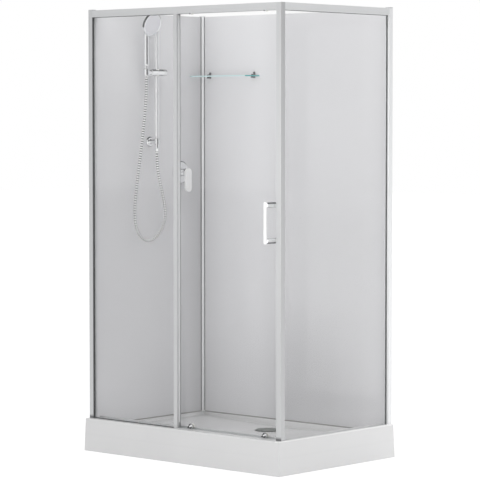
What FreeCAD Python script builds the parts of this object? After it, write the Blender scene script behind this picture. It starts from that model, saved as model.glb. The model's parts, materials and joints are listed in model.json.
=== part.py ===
"""Shower cabin: tray, framed glass, sliding door, hand shower, mixer and shelf.

Millimetres. The origin is on the floor, in the middle of the tray's base. X runs to the right
along the front, Y to the back wall, Z up. The left and the back side stand against the walls.
"""
import FreeCAD, Part
import math
import os
import re
import Sketcher

# Driving dimensions, millimetres and degrees
SIZES = {
    # Tray
    "tray_length": 1200,
    "tray_width": 800,
    "tray_height": 150,
    "skirt_draft": 9,
    "shell_wall": 5,
    "rim_round": 4,
    "skirt_corner_round": 6,
    "front_rim": 77,
    "side_rim": 60,
    "ledge_height": 110,
    "ledge_width": 18,
    "basin_draft": 10,
    "cove_width": 16,
    "floor_left_height": 97,
    "floor_right_height": 103,
    "floor_drain_height": 82,
    "floor_wall": 6,
    "wall_rim_drop": 40,
    # Waste
    "drain_from_left": 575,
    "drain_from_back": 162,
    "drain_flat": 150,
    "drain_boss_radius": 72,
    "drain_boss_depth": 16,
    "recess_radius": 62,
    "recess_depth": 6,
    "drain_bore_radius": 46,
    "flange_radius": 58,
    "flange_thickness": 3,
    "stem_radius": 44,
    "stem_wall": 4,
    "stem_length": 26,
    "drain_gasket_thickness": 3,
    "trap_radius": 53,
    "trap_wall": 3,
    "trap_clearance": 9,
    "thread_clearance": 0.1,
    "spigot_radius": 20,
    "spigot_wall": 2,
    "spigot_length": 128,
    "spigot_height": 34,
    "spigot_end": 45,
    "spigot_collar_radius": 23,
    "strainer_rim": 46,
    "strainer_wall": 1.5,
    "strainer_depth": 28,
    "strainer_slot": 3,
    "cover_radius": 60,
    "cover_thickness": 5,
    "cover_dome": 1.5,
    "cover_leg_radius": 3,
    "cover_leg_circle": 53,
    # Support frame and feet
    "tube_size": 30,
    "tube_wall": 2,
    "left_tube_from_left": 180,
    "right_tube_from_right": 220,
    "tube_end_gap": 95,
    "long_tube_from_front": 400,
    "foot_inset": 35,
    "foot_pad_radius": 25,
    "foot_pad_height": 10,
    "foot_stud_radius": 6,
    "foot_nut_radius": 10,
    "foot_nut_height": 8,
    # Frame profiles
    "front_setback": 35.5,
    "side_setback": 20,
    "frame_height": 1884,
    "post_width": 24,
    "post_depth": 25.5,
    "corner_post_width": 28,
    "back_post_width": 25,
    "profile_wall": 2,
    "post_cap_height": 4,
    "post_cap_spigot": 12,
    "rail_height": 32,
    "front_rail_depth": 46,
    "side_rail_width": 26,
    "rail_wall": 3,
    "rail_chamber": 8,
    "rail_channel_depth": 18.3,
    "rail_channel_setback": 11.5,
    "track_base": 1.2,
    "track_width": 19.5,
    "track_fin": 2,
    "track_fin_height": 7,
    "rail_screw_length": 16,
    "rail_screw_head_radius": 6.5,
    "rail_screw_head": 3,
    # Panes and panels
    "glass_thickness": 5,
    "fixed_glass_inset": 3.5,
    "glazing_clearance": 0.5,
    "glass_bite": 8,
    "side_glass_inset": 12,
    "panel_thickness": 5,
    "left_wall_inset": 12,
    "back_wall_inset": 7,
    "panel_top_drop": 5,
    "gasket_proud": 2.5,
    "gasket_width": 5,
    "gasket_line": 2,
    "side_gasket_width": 5,
    "sill_height": 4,
    "corner_leg": 14,
    "corner_leg_thickness": 3,
    "corner_gasket": 2,
    # Fixed pane's end and the door
    "fixed_span": 562.5,
    "end_profile_width": 21.5,
    "end_profile_depth": 12,
    "end_profile_web": 7.5,
    "overlap_seal_width": 6,
    "overlap_seal_gap": 0.5,
    "overlap_seal_margin": 30,
    "door_setback": 24.5,
    "door_overlap": 11,
    "door_floor_gap": 4,
    "door_top_bite": 16,
    "door_profile_width": 25,
    "door_profile_side": 3.5,
    "magnet_strip": 9.5,
    "magnet_gap": 0.5,
    "magnet_lip": 1.5,
    "strike_width": 8,
    "strike_depth": 12,
    # Rollers
    "roller_left_inset": 94,
    "roller_right_inset": 76,
    "wheel_radius": 11,
    "wheel_width": 6,
    "wheel_gap": 2.5,
    "wheel_groove": 1,
    "running_gap": 0.3,
    "axle_radius": 3,
    "axle_fit": 0.05,
    "axle_hole_clearance": 1,
    "axle_head_radius": 5.5,
    "axle_head": 1.6,
    "roller_cap_radius": 11,
    "roller_cap_height": 8,
    "roller_cap_edge": 4,
    "axle_in_cap": 4,
    # Handle
    "handle_inset": 22,
    "handle_height": 861,
    "handle_spacing": 155,
    "handle_post_radius": 12,
    "handle_standoff": 55.5,
    "handle_bar_width": 12,
    "handle_bar_depth": 8.5,
    "handle_bar_length": 180,
    "handle_bar_round": 2.5,
    "handle_screw_radius": 4,
    "handle_screw_bite": 20,
    "handle_cap_height": 5,
    # Riser, slider and handset
    "riser_from_back": 376,
    "riser_standoff": 48,
    "riser_radius": 9.5,
    "riser_wall": 1.5,
    "riser_above_mixer": 148,
    "riser_top_drop": 44,
    "riser_top_margin": 15,
    "rosette_radius": 23.5,
    "rosette_height": 8,
    "stub_radius": 11,
    "elbow_radius": 13,
    "elbow_above": 16,
    "elbow_below": 13,
    "elbow_tail_radius": 10.48,
    "elbow_tail_length": 30,
    "panel_hole_clearance": 0.5,
    "elbow_nut_height": 6,
    "elbow_nut_radius": 17,
    "water_bore": 6,
    "hose_nut_radius": 10,
    "hose_nut_height": 33,
    "slider_share": 0.58,
    "slider_radius": 16,
    "slider_front": 39,
    "slider_back": 36,
    "sleeve_wall": 2,
    "sleeve_height": 30,
    "sleeve_fit": 0.05,
    "knob_gap": 1,
    "knob_length": 23,
    "knob_shank_radius": 4,
    "knob_shank": 12,
    "holder_offset": 70,
    "holder_radius": 15,
    "holder_low": 15,
    "holder_high": 16,
    "holder_boss_radius": 12,
    "cone_low_radius": 8.2,
    "cone_high_radius": 11,
    "cone_gap": 0.3,
    "cone_low": 21,
    "cone_high": 19,
    "neck_radius": 8,
    "neck_height": 12,
    "grip_radius": 12.5,
    "grip_length": 150,
    "grip_round": 5,
    "head_radius": 55.5,
    "head_thickness": 14,
    "head_dome": 9,
    "head_forward": 35,
    "head_above_grip": 43.5,
    "head_tilt_degrees": 18,
    "head_neck_radius": 10.5,
    "handset_wall": 2.5,
    "face_radius": 50.5,
    "face_depth": 4,
    "face_proud": 1,
    "hose_radius": 7,
    "hose_bore_radius": 4.5,
    "hose_rib_height": 0.9,
    # Mixer
    "mixer_from_back": 166,
    "mixer_height": 1280,
    "mixer_rosette_radius": 54,
    "mixer_rosette_height": 8,
    "mixer_sleeve_radius": 20.5,
    "mixer_sleeve_wall": 2.5,
    "mixer_sleeve_length": 32,
    "cartridge_radius": 17.5,
    "cartridge_length": 30,
    "valve_depth": 26,
    "valve_radius": 27,
    "valve_arm": 42,
    "valve_arm_radius": 13,
    "inlet_radius": 10.48,
    "inlet_bore_radius": 7,
    "inlet_length": 15,
    "inlet_boss": 2,
    "inlet_boss_radius": 12,
    "collar_radius": 19,
    "collar_height": 5,
    "lever_width": 40,
    "lever_length": 114,
    "lever_thickness": 13.5,
    "lever_round": 3,
    "hinge_bead_radius": 1.5,
    "hinge_bead_length": 16,
    "hinge_bead_inset": 2,
    "pipe_radius": 6,
    "pipe_bore_radius": 5,
    "pipe_bend": 30,
    # Shelf
    "shelf_length": 362,
    "shelf_depth": 107,
    "shelf_thickness": 6,
    "shelf_corner": 18,
    "shelf_drop": 297,
    "shelf_from_left": 26,
    "shelf_wall_gap": 8,
    "shelf_holder_inset": 38,
    "shelf_holder_width": 18,
    "shelf_holder_depth": 30,
    "shelf_holder_jaw": 7,
    # One overrun for every cut
    "overrun": 4,
}

# Places that follow from the driving dimensions
PLACES = {
    "left_x": "-tray_length / 2",
    "right_x": "tray_length / 2",
    "front_y": "-tray_width / 2",
    "back_y": "tray_width / 2",
    "rim_right_x": "right_x - skirt_draft",
    "rim_front_y": "front_y + skirt_draft",
    "basin_left_x": "left_x + ledge_width",
    "basin_right_x": "rim_right_x - side_rim",
    "basin_front_y": "rim_front_y + front_rim",
    "basin_back_y": "back_y - ledge_width",
    "floor_left_x": "basin_left_x + cove_width",
    "floor_right_x": "basin_right_x - basin_draft",
    "floor_front_y": "basin_front_y + basin_draft",
    "floor_back_y": "basin_back_y - cove_width",
    "skirt_inner_y": "rim_front_y + shell_wall",
    "skirt_inner_x": "rim_right_x - shell_wall",
    "wall_rim_z": "ledge_height - wall_rim_drop",
    "drain_x": "left_x + drain_from_left",
    "drain_y": "back_y - drain_from_back",
    "drain_low_x": "drain_x - drain_flat / 2",
    "drain_high_x": "drain_x + drain_flat / 2",
    "recess_z": "floor_drain_height - recess_depth",
    "boss_z": "floor_drain_height - drain_boss_depth",
    "flange_top_z": "recess_z + flange_thickness",
    "gasket_low_z": "boss_z - drain_gasket_thickness",
    "left_fall": "(floor_left_height - floor_drain_height) / (drain_low_x - floor_left_x)",
    "right_fall": "(floor_right_height - floor_drain_height) / (floor_right_x - drain_high_x)",
    "left_tube_x": "left_x + left_tube_from_left",
    "right_tube_x": "right_x - right_tube_from_right",
    "left_tube_top": "floor_drain_height - floor_wall"
                     " + left_fall * (drain_low_x - left_tube_x - tube_size / 2)",
    "right_tube_top": "floor_drain_height - floor_wall"
                      " + right_fall * (right_tube_x - tube_size / 2 - drain_high_x)",
    "long_tube_top": "floor_drain_height - floor_wall",
    "tube_front_y": "front_y + tube_end_gap",
    "tube_back_y": "back_y - tube_end_gap",
    "long_tube_y": "front_y + long_tube_from_front",
    "frame_top_z": "tray_height + frame_height",
    "rail_bottom_z": "frame_top_z - rail_height",
    "channel_top_z": "rail_bottom_z + rail_channel_depth",
    "chamber_top_z": "frame_top_z - rail_wall",
    "chamber_low_z": "chamber_top_z - rail_chamber",
    "chamber_z": "chamber_top_z - rail_chamber / 2",
    "frame_front_y": "front_y + front_setback",
    "frame_right_x": "right_x - side_setback",
    "post_inner_x": "left_x + post_width",
    "post_back_y": "frame_front_y + post_depth",
    "corner_post_x": "frame_right_x - corner_post_width",
    "back_post_x": "frame_right_x - back_post_width",
    "back_post_y": "back_y - post_width",
    "side_rail_x": "frame_right_x - side_rail_width",
    "front_rail_back_y": "frame_front_y + front_rail_depth",
    "channel_front_y": "frame_front_y + rail_channel_setback",
    "channel_back_y": "front_rail_back_y - rail_wall",
    "fixed_glass_y": "frame_front_y + fixed_glass_inset",
    "fixed_glass_back_y": "fixed_glass_y + glass_thickness",
    "side_glass_x": "frame_right_x - side_glass_inset",
    "side_glass_inner_x": "side_glass_x - glass_thickness",
    "wall_x": "left_x + left_wall_inset",
    "wall_back_x": "wall_x - panel_thickness",
    "wall_y": "back_y - back_wall_inset",
    "wall_back_y": "wall_y + panel_thickness",
    "panel_low_z": "ledge_height + sill_height",
    "panel_top_z": "frame_top_z - panel_top_drop",
    "fixed_end_x": "left_x + fixed_span",
    "fixed_end_left_x": "fixed_end_x - end_profile_width",
    "end_profile_back_y": "frame_front_y + end_profile_depth",
    "door_y": "frame_front_y + door_setback",
    "door_back_y": "door_y + glass_thickness",
    "door_left_x": "fixed_end_left_x - door_overlap",
    "door_glass_right_x": "corner_post_x - magnet_gap - magnet_strip",
    "door_low_z": "tray_height + door_floor_gap",
    "door_top_z": "rail_bottom_z + door_top_bite",
    "wheel_low_z": "tray_height + track_base + running_gap + wheel_radius",
    "wheel_top_z": "channel_top_z - running_gap - wheel_radius",
    "wheel_left_x": "door_left_x + roller_left_inset",
    "wheel_right_x": "door_glass_right_x - roller_right_inset",
    "wheel_y": "door_back_y + wheel_gap",
    "handle_x": "door_glass_right_x - handle_inset",
    "handle_low_z": "tray_height + handle_height",
    "handle_high_z": "handle_low_z + handle_spacing",
    "handle_bar_y": "door_y - handle_standoff",
    "riser_x": "wall_x + riser_standoff",
    "riser_y": "back_y - riser_from_back",
    "riser_bottom_height": "mixer_height + riser_above_mixer",
    "riser_top_z": "frame_top_z - riser_top_drop",
    "slider_height": "riser_bottom_height + slider_share * (riser_top_z - riser_bottom_height)",
    "bracket_z": "riser_top_z - riser_top_margin",
    "elbow_low_z": "riser_bottom_height - elbow_below",
    "hose_out_z": "elbow_low_z - hose_nut_height",
    "holder_y": "riser_y - holder_offset",
    "slider_low_y": "riser_y - slider_front",
    "slider_high_y": "riser_y + slider_back",
    "cone_low_z": "slider_height - cone_low",
    "cone_high_z": "slider_height + cone_high",
    "cone_slope": "(cone_high_radius - cone_low_radius) / (cone_low + cone_high)",
    "grip_z": "cone_high_z + neck_height",
    "grip_top_z": "grip_z + grip_length",
    "head_x": "riser_x + head_forward",
    "head_z": "grip_top_z + head_above_grip",
    "mixer_y": "back_y - mixer_from_back",
    "sleeve_end_x": "wall_x + mixer_rosette_height + mixer_sleeve_length",
    "collar_end_x": "sleeve_end_x + running_gap + collar_height",
    "valve_x": "wall_back_x - valve_depth / 2",
    "shelf_height": "frame_top_z - shelf_drop",
    "shelf_back_y": "wall_y - shelf_wall_gap",
    "shelf_left_x": "left_x + shelf_from_left",
}

# The hose hangs beside the riser, in one plane. The points of its two limbs are given as the
# distance towards the back wall and the drop: the first from the handset's nut, the second, met at
# the loop's foot, from the outlet's nut.
HANDSET_LIMB = [
    (0, 0), (0, 93), (-14, 203), (-34, 333), (-57, 458), (-76, 573), (-81, 663), (-62, 733),
]
OUTLET_LIMB = [
    (-76, 425), (-8, 412), (48, 354), (60, 284), (40, 207), (16, 130), (0, 57), (0, 0),
]
HOSE_RIBS = 112
BEND_SHARE = 0.45
# How near an edge's measure has to be to count as the same
NEAR = 0.1

doc = FreeCAD.newDocument("shower_cabin")
pieces = {}
homes = {}


def fill_sheet(name, cells):
    """A sheet whose column B holds the values, each with its alias."""
    sheet = doc.addObject("Spreadsheet::Sheet", name)
    for row, alias in enumerate(cells, 1):
        homes[alias] = name
        sheet.set(f"A{row}", alias)
        sheet.setAlias(f"B{row}", alias)
    for row, content in enumerate(cells.values(), 1):
        sheet.set(f"B{row}", str(content) if name == "dims" else "=" + linked(content))
    return sheet


def linked(text):
    """An expression in which every name points at the sheet that holds it."""
    return re.sub(r"[a-z_]+", lambda word: f"{homes[word.group(0)]}.{word.group(0)}", text)


def bind(piece, target, text):
    """Tie a property to an expression of named sizes and places."""
    piece.setExpression(target, linked(text))


def read(alias):
    """The present value of a named size or place."""
    return float(getattr(sheets[homes[alias]], alias))


sheets = {"dims": fill_sheet("dims", SIZES), "places": None}
for alias in PLACES:
    homes[alias] = "places"
sheets["places"] = fill_sheet("places", PLACES)
doc.recompute()

# Turns that lay a piece drawn along Z along another axis
ALONG = {
    "+z": FreeCAD.Rotation(),
    "-z": FreeCAD.Rotation(FreeCAD.Vector(1, 0, 0), 180),
    "+x": FreeCAD.Rotation(FreeCAD.Vector(0, 1, 0), 90),
    "-x": FreeCAD.Rotation(FreeCAD.Vector(0, 1, 0), -90),
    "+y": FreeCAD.Rotation(FreeCAD.Vector(1, 0, 0), -90),
    "-y": FreeCAD.Rotation(FreeCAD.Vector(1, 0, 0), 90),
}
# Turns that stand a flat outline up: its first axis, its second axis, then the way it is pulled
UPRIGHT = {
    "xy": FreeCAD.Rotation(),
    "xz": FreeCAD.Rotation(FreeCAD.Vector(1, 0, 0), 90),
    "yz": FreeCAD.Rotation(FreeCAD.Vector(1, 1, 1), 120),
}


def place(piece, turn, x, y, z):
    """Turn a piece and tie its place to the sheet."""
    piece.Placement = FreeCAD.Placement(FreeCAD.Vector(), turn)
    for axis, text in zip("xyz", (x, y, z)):
        bind(piece, "Placement.Base." + axis, text)
    return piece


def box(name, x, y, z):
    """A block between named low and high places on each axis."""
    block = doc.addObject("Part::Box", name)
    for side, (low, high) in zip(("Length", "Width", "Height"), (x, y, z)):
        bind(block, side, f"({high}) - ({low})")
    return place(block, ALONG["+z"], x[0], y[0], z[0])


def rod(name, radius, length, way, x, y, z):
    """A round bar that starts at a place and runs along an axis."""
    bar = doc.addObject("Part::Cylinder", name)
    bind(bar, "Radius", radius)
    bind(bar, "Height", length)
    return place(bar, ALONG[way], x, y, z)


def cut(name, base, *tools):
    """A piece with one or more tools taken away."""
    for count, tool in enumerate(tools, 1):
        step = doc.addObject("Part::Cut", name if count == len(tools) else f"{name}_cut_{count}")
        step.Base = base
        step.Tool = tool
        base = step
    return base


def fuse(name, *parts):
    """Several shapes that are one solid."""
    whole = doc.addObject("Part::MultiFuse", name)
    whole.Shapes = list(parts)
    whole.Refine = True
    return whole


def common(name, base, tool):
    """What two shapes share."""
    shared = doc.addObject("Part::Common", name)
    shared.Base = base
    shared.Tool = tool
    return shared


def group(name, parts):
    """Like pieces that share one node and stay separate solids."""
    together = doc.addObject("Part::Compound", name)
    together.Links = list(parts)
    return together


def rounded(name, base, radius, chosen):
    """A piece with the edges that the test picks rounded off."""
    doc.recompute()
    piece = doc.addObject("Part::Fillet", name)
    piece.Base = base
    size = read(radius)
    edges = enumerate(base.Shape.Edges, 1)
    piece.Edges = [(number, size, size) for number, edge in edges if chosen(edge)]
    return piece


def outline(body, plane, points):
    """A closed sketch whose corners are tied to the sheet."""
    sketch = body.newObject("Sketcher::SketchObject", body.Name + "_outline")
    origin = next(item for item in body.Origin.OriginFeatures if item.Role == plane)
    sketch.AttachmentSupport = (origin, [""])
    sketch.MapMode = "FlatFace"
    count = len(points)
    spread = [FreeCAD.Vector(math.cos(math.tau * turn / count), math.sin(math.tau * turn / count), 0)
              for turn in range(count)]
    for turn in range(count):
        sketch.addGeometry(Part.LineSegment(spread[turn], spread[(turn + 1) % count]), False)
    joints = [Sketcher.Constraint("Coincident", turn, 2, (turn + 1) % count, 1)
              for turn in range(count)]
    sketch.addConstraint(joints)
    for turn, corner in enumerate(points):
        for kind, axis, text in zip(("DistanceX", "DistanceY"), (-2, -1), corner):
            if text == "0":
                sketch.addConstraint(Sketcher.Constraint("PointOnObject", turn, 1, axis))
                continue
            reach = spread[turn].x if kind == "DistanceX" else spread[turn].y
            number = sketch.addConstraint(Sketcher.Constraint(kind, -1, 1, turn, 1, reach))
            bind(sketch, f"Constraints[{number}]", text)
    return sketch


def turned(name, way, centre, points):
    """A lathe piece: corners are radius and height along the axis, from the centre."""
    body = doc.addObject("PartDesign::Body", name)
    sketch = outline(body, "XZ_Plane", points)
    spin = body.newObject("PartDesign::Revolution", name + "_turning")
    spin.Profile = sketch
    spin.ReferenceAxis = (sketch, ["V_Axis"])
    spin.Angle = 360
    body.Tip = spin
    return place(body, ALONG[way], *centre)


def pulled(name, stand, start, length, points):
    """A flat outline stood upright and pulled to a length."""
    body = doc.addObject("PartDesign::Body", name)
    sketch = outline(body, "XY_Plane", points)
    pad = body.newObject("PartDesign::Pad", name + "_pull")
    pad.Profile = sketch
    bind(pad, "Length", length)
    body.Tip = pad
    return place(body, UPRIGHT[stand], *start)


def solid(name, shape):
    """A piece whose shape is worked out here from the sheet's values."""
    piece = doc.addObject("Part::Feature", name)
    piece.Shape = shape
    return piece


def keep(node, piece):
    """Name a finished piece."""
    piece.Label = node
    pieces[node] = piece


def inset(span, wall):
    """A span with a wall taken off both ends."""
    return (f"{span[0]} + ({wall})", f"{span[1]} - ({wall})")


def widened(span, room):
    """A span with room added at both ends."""
    return (f"{span[0]} - ({room})", f"{span[1]} + ({room})")


# Tray
def make_tray():
    outer = doc.addObject("Part::Wedge", "tray_block")
    for target, text in {
        "Xmin": "left_x", "Xmax": "right_x", "X2min": "left_x", "X2max": "rim_right_x",
        "Zmin": "-back_y", "Zmax": "-front_y", "Z2min": "-back_y", "Z2max": "-rim_front_y",
        "Ymax": "tray_height",
    }.items():
        bind(outer, target, text)
    outer.Ymin = 0
    outer.Placement = FreeCAD.Placement(FreeCAD.Vector(), UPRIGHT["xz"])

    def skirt_corner(edge):
        middle = edge.CenterOfMass
        return middle.x > 0 > middle.y and abs(edge.BoundBox.ZLength - read("tray_height")) < NEAR

    def rim_edge(edge):
        box = edge.BoundBox
        on_top = box.ZMin > read("tray_height") - NEAR
        return on_top and (box.YMax < read("back_y") - NEAR or box.XMin > read("left_x") + NEAR)

    skirted = rounded("tray_corner", outer, "skirt_corner_round", skirt_corner)
    rimmed = rounded("tray_rim", skirted, "rim_round", rim_edge)
    above = "tray_height + overrun"
    basin_long = pulled("basin_long", "xz", ("0", "back_y", "0"), "tray_width", [
        ("basin_left_x", above), ("basin_left_x", "ledge_height"),
        ("floor_left_x", "floor_left_height"), ("drain_low_x", "floor_drain_height"),
        ("drain_high_x", "floor_drain_height"), ("floor_right_x", "floor_right_height"),
        ("basin_right_x", "tray_height"), ("basin_right_x", above)])
    basin_cross = pulled("basin_cross", "yz", ("left_x", "0", "0"), "tray_length", [
        ("basin_front_y", above), ("basin_front_y", "tray_height"), ("floor_front_y", "recess_z"),
        ("floor_back_y", "recess_z"), ("basin_back_y", "ledge_height"), ("basin_back_y", above)])
    basin = common("basin", basin_long, basin_cross)
    ledge_z = ("ledge_height", above)
    left_ledge = box("left_ledge", ("left_x - overrun", "basin_left_x"),
                     ("post_back_y - glass_bite", "back_y + overrun"), ledge_z)
    back_ledge = box("back_ledge", ("left_x - overrun", "back_post_x + glass_bite"),
                     ("basin_back_y", "back_y + overrun"), ledge_z)
    under_floor = pulled("under_floor", "xz", ("0", "back_y - shell_wall", "0"),
                         "back_y - shell_wall - basin_front_y + shell_wall", [
        ("left_x + shell_wall", "-overrun"), ("left_x + shell_wall", "floor_left_height - floor_wall"),
        ("floor_left_x", "floor_left_height - floor_wall"),
        ("drain_low_x", "floor_drain_height - floor_wall"),
        ("drain_high_x", "floor_drain_height - floor_wall"),
        ("floor_right_x", "floor_right_height - floor_wall"),
        ("basin_right_x + shell_wall", "floor_right_height - floor_wall"),
        ("basin_right_x + shell_wall", "-overrun")])
    rim_z = ("-overrun", "tray_height - shell_wall")
    front_hollow = box("front_hollow", ("left_x + shell_wall", "skirt_inner_x"),
                       ("skirt_inner_y", "basin_front_y - shell_wall"), rim_z)
    side_hollow = box("side_hollow", ("basin_right_x + shell_wall", "skirt_inner_x"),
                      ("skirt_inner_y", "back_y - shell_wall"), rim_z)
    open_z = ("-overrun", "wall_rim_z")
    left_opening = box("left_opening", ("left_x - overrun", "left_x + shell_wall"),
                       ("skirt_inner_y", "back_y + overrun"), open_z)
    back_opening = box("back_opening", ("left_x - overrun", "skirt_inner_x"),
                       ("back_y - shell_wall", "back_y + overrun"), open_z)
    shell = cut("tray_hollowed", rimmed, basin, left_ledge, back_ledge, under_floor, front_hollow,
                side_hollow, left_opening, back_opening)
    boss = rod("drain_boss", "drain_boss_radius", "drain_boss_depth", "+z", "drain_x", "drain_y", "boss_z")
    recess = rod("drain_recess", "recess_radius", "recess_depth + overrun", "+z",
                 "drain_x", "drain_y", "recess_z")
    bore = rod("drain_bore", "drain_bore_radius", "drain_boss_depth + overrun", "+z",
               "drain_x", "drain_y", "boss_z - overrun")
    keep("tray_shell", cut("tray_shell", fuse("tray_with_boss", shell, boss), recess, bore))


# Waste: flange, gasket, trap, strainer and cover
def make_waste():
    centre = ("drain_x", "drain_y", "0")
    bore = "stem_radius - stem_wall"
    stem_low = "recess_z - stem_length"
    keep("drain_flange", turned("drain_flange", "+z", centre, [
        (bore, stem_low), ("stem_radius", stem_low), ("stem_radius", "recess_z"),
        ("flange_radius", "recess_z"), ("flange_radius", "flange_top_z"), (bore, "flange_top_z")]))
    socket = "stem_radius + thread_clearance"
    keep("drain_gasket", turned("drain_gasket", "+z", centre, [
        (socket, "gasket_low_z"), ("trap_radius", "gasket_low_z"), ("trap_radius", "boss_z"),
        (socket, "boss_z")]))
    cup = turned("trap_cup", "+z", centre, [
        ("0", "trap_clearance"), ("trap_radius", "trap_clearance"), ("trap_radius", "gasket_low_z"),
        (socket, "gasket_low_z"), (socket, stem_low), ("trap_radius - trap_wall", stem_low),
        ("trap_radius - trap_wall", "trap_clearance + trap_wall"), ("0", "trap_clearance + trap_wall")])
    start = "drain_y + trap_radius - 2 * trap_wall"
    reach = "spigot_length - trap_radius + 2 * trap_wall"
    end = rod("trap_spigot_end", "spigot_radius", reach, "+y", "drain_x", start, "spigot_height")
    collar = rod("trap_spigot_collar", "spigot_collar_radius", f"{reach} - spigot_end", "+y",
                 "drain_x", start, "spigot_height")
    pipe = fuse("trap_spigot", end, collar)
    bore = rod("trap_spigot_bore", "spigot_radius - spigot_wall", f"{reach} + 2 * overrun", "+y",
               "drain_x", f"{start} - overrun", "spigot_height")
    inside = rod("trap_inside", "trap_radius - trap_wall", "gasket_low_z - trap_clearance", "+z",
                 "drain_x", "drain_y", "trap_clearance")
    keep("drain_trap", cut("drain_trap", fuse("trap_whole", cup, cut("trap_pipe", pipe, inside)), bore))
    wall = "stem_radius - stem_wall - thread_clearance - strainer_wall"
    low = "flange_top_z - strainer_depth"
    basket = turned("strainer_cup", "+z", centre, [
        ("0", low), (f"{wall} + strainer_wall", low), (f"{wall} + strainer_wall", "flange_top_z"),
        ("strainer_rim", "flange_top_z"), ("strainer_rim", "flange_top_z + strainer_wall"),
        (wall, "flange_top_z + strainer_wall"), (wall, f"{low} + strainer_wall"),
        ("0", f"{low} + strainer_wall")])
    slots = [box(f"strainer_slot_{count}", (f"drain_x + {count} * 3 * strainer_slot - strainer_slot / 2",
                                            f"drain_x + {count} * 3 * strainer_slot + strainer_slot / 2"),
                 ("drain_y - strainer_rim / 2", "drain_y + strainer_rim / 2"),
                 (f"{low} - overrun", f"{low} + overrun")) for count in range(-2, 3)]
    keep("hair_strainer", cut("hair_strainer", basket, *slots))
    underside = "floor_drain_height - cover_dome"
    disc = turned("cover_disc", "+z", centre, [
        ("0", underside), ("cover_radius", underside),
        ("cover_radius", f"{underside} + cover_thickness - cover_dome"),
        ("cover_radius - cover_dome", f"{underside} + cover_thickness"),
        ("0", f"{underside} + cover_thickness + cover_dome")])
    legs = []
    for count in range(3):
        angle = math.tau * count / 3
        legs.append(rod(f"cover_leg_{count}", "cover_leg_radius",
                        f"{underside} - flange_top_z - running_gap + cover_dome", "+z",
                        f"drain_x + {math.cos(angle):.5f} * cover_leg_circle",
                        f"drain_y + {math.sin(angle):.5f} * cover_leg_circle",
                        "flange_top_z + running_gap"))
    keep("drain_cover", fuse("drain_cover", disc, *legs))


# Steel frame under the tray, and its feet
def make_support():
    def tube(name, x, y, top, along):
        z = (f"{top} - tube_size", top)
        sides = [inset(x, "tube_wall"), inset(y, "tube_wall"), inset(z, "tube_wall")]
        sides["xy".index(along)] = widened((x, y)["xy".index(along)], "overrun")
        return cut(name, box(name + "_bar", x, y, z), box(name + "_bore", *sides))

    across = ("tube_front_y", "tube_back_y")
    left = tube("left_tube", ("left_tube_x - tube_size / 2", "left_tube_x + tube_size / 2"), across,
                "left_tube_top", "y")
    right = tube("right_tube", ("right_tube_x - tube_size / 2", "right_tube_x + tube_size / 2"), across,
                 "right_tube_top", "y")
    middle = tube("long_tube", ("left_tube_x + tube_size / 2", "right_tube_x - tube_size / 2"),
                  ("long_tube_y - tube_size / 2", "long_tube_y + tube_size / 2"), "long_tube_top", "x")
    near = "tube_front_y + foot_inset"
    far = "tube_back_y - foot_inset"
    feet = [("left_tube_x", near, "left_tube_top"), ("left_tube_x", far, "left_tube_top"),
            ("right_tube_x", near, "right_tube_top"), ("right_tube_x", far, "right_tube_top"),
            ("(left_x + right_x) / 2", "long_tube_y", "long_tube_top")]
    pads, studs, weld_nuts = [], [], []
    for count, (x, y, top) in enumerate(feet):
        under = f"{top} - tube_size"
        pads.append(turned(f"foot_pad_{count}", "+z", (x, y, "0"), [
            ("0", "0"), ("foot_pad_radius", "0"), ("foot_pad_radius", "foot_pad_height / 2"),
            ("foot_nut_radius", "foot_pad_height"), ("0", "foot_pad_height")]))
        studs.append(rod(f"foot_stud_{count}", "foot_stud_radius", f"{under} - foot_pad_height", "+z",
                         x, y, "foot_pad_height"))
        nut = doc.addObject("Part::Prism", f"foot_nut_block_{count}")
        nut.Polygon = 6
        bind(nut, "Circumradius", "foot_nut_radius")
        bind(nut, "Height", "foot_nut_height")
        place(nut, ALONG["+z"], x, y, f"{under} - foot_nut_height")
        hole = rod(f"foot_nut_hole_{count}", "foot_stud_radius + thread_clearance",
                   "foot_nut_height + 2 * overrun", "+z", x, y, f"{under} - foot_nut_height - overrun")
        weld_nuts.append(cut(f"foot_nut_{count}", nut, hole))
    keep("support_frame", fuse("support_frame", left, right, middle, *weld_nuts))
    keep("foot_pads", group("foot_pads", pads))
    keep("foot_studs", group("foot_studs", studs))


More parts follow.
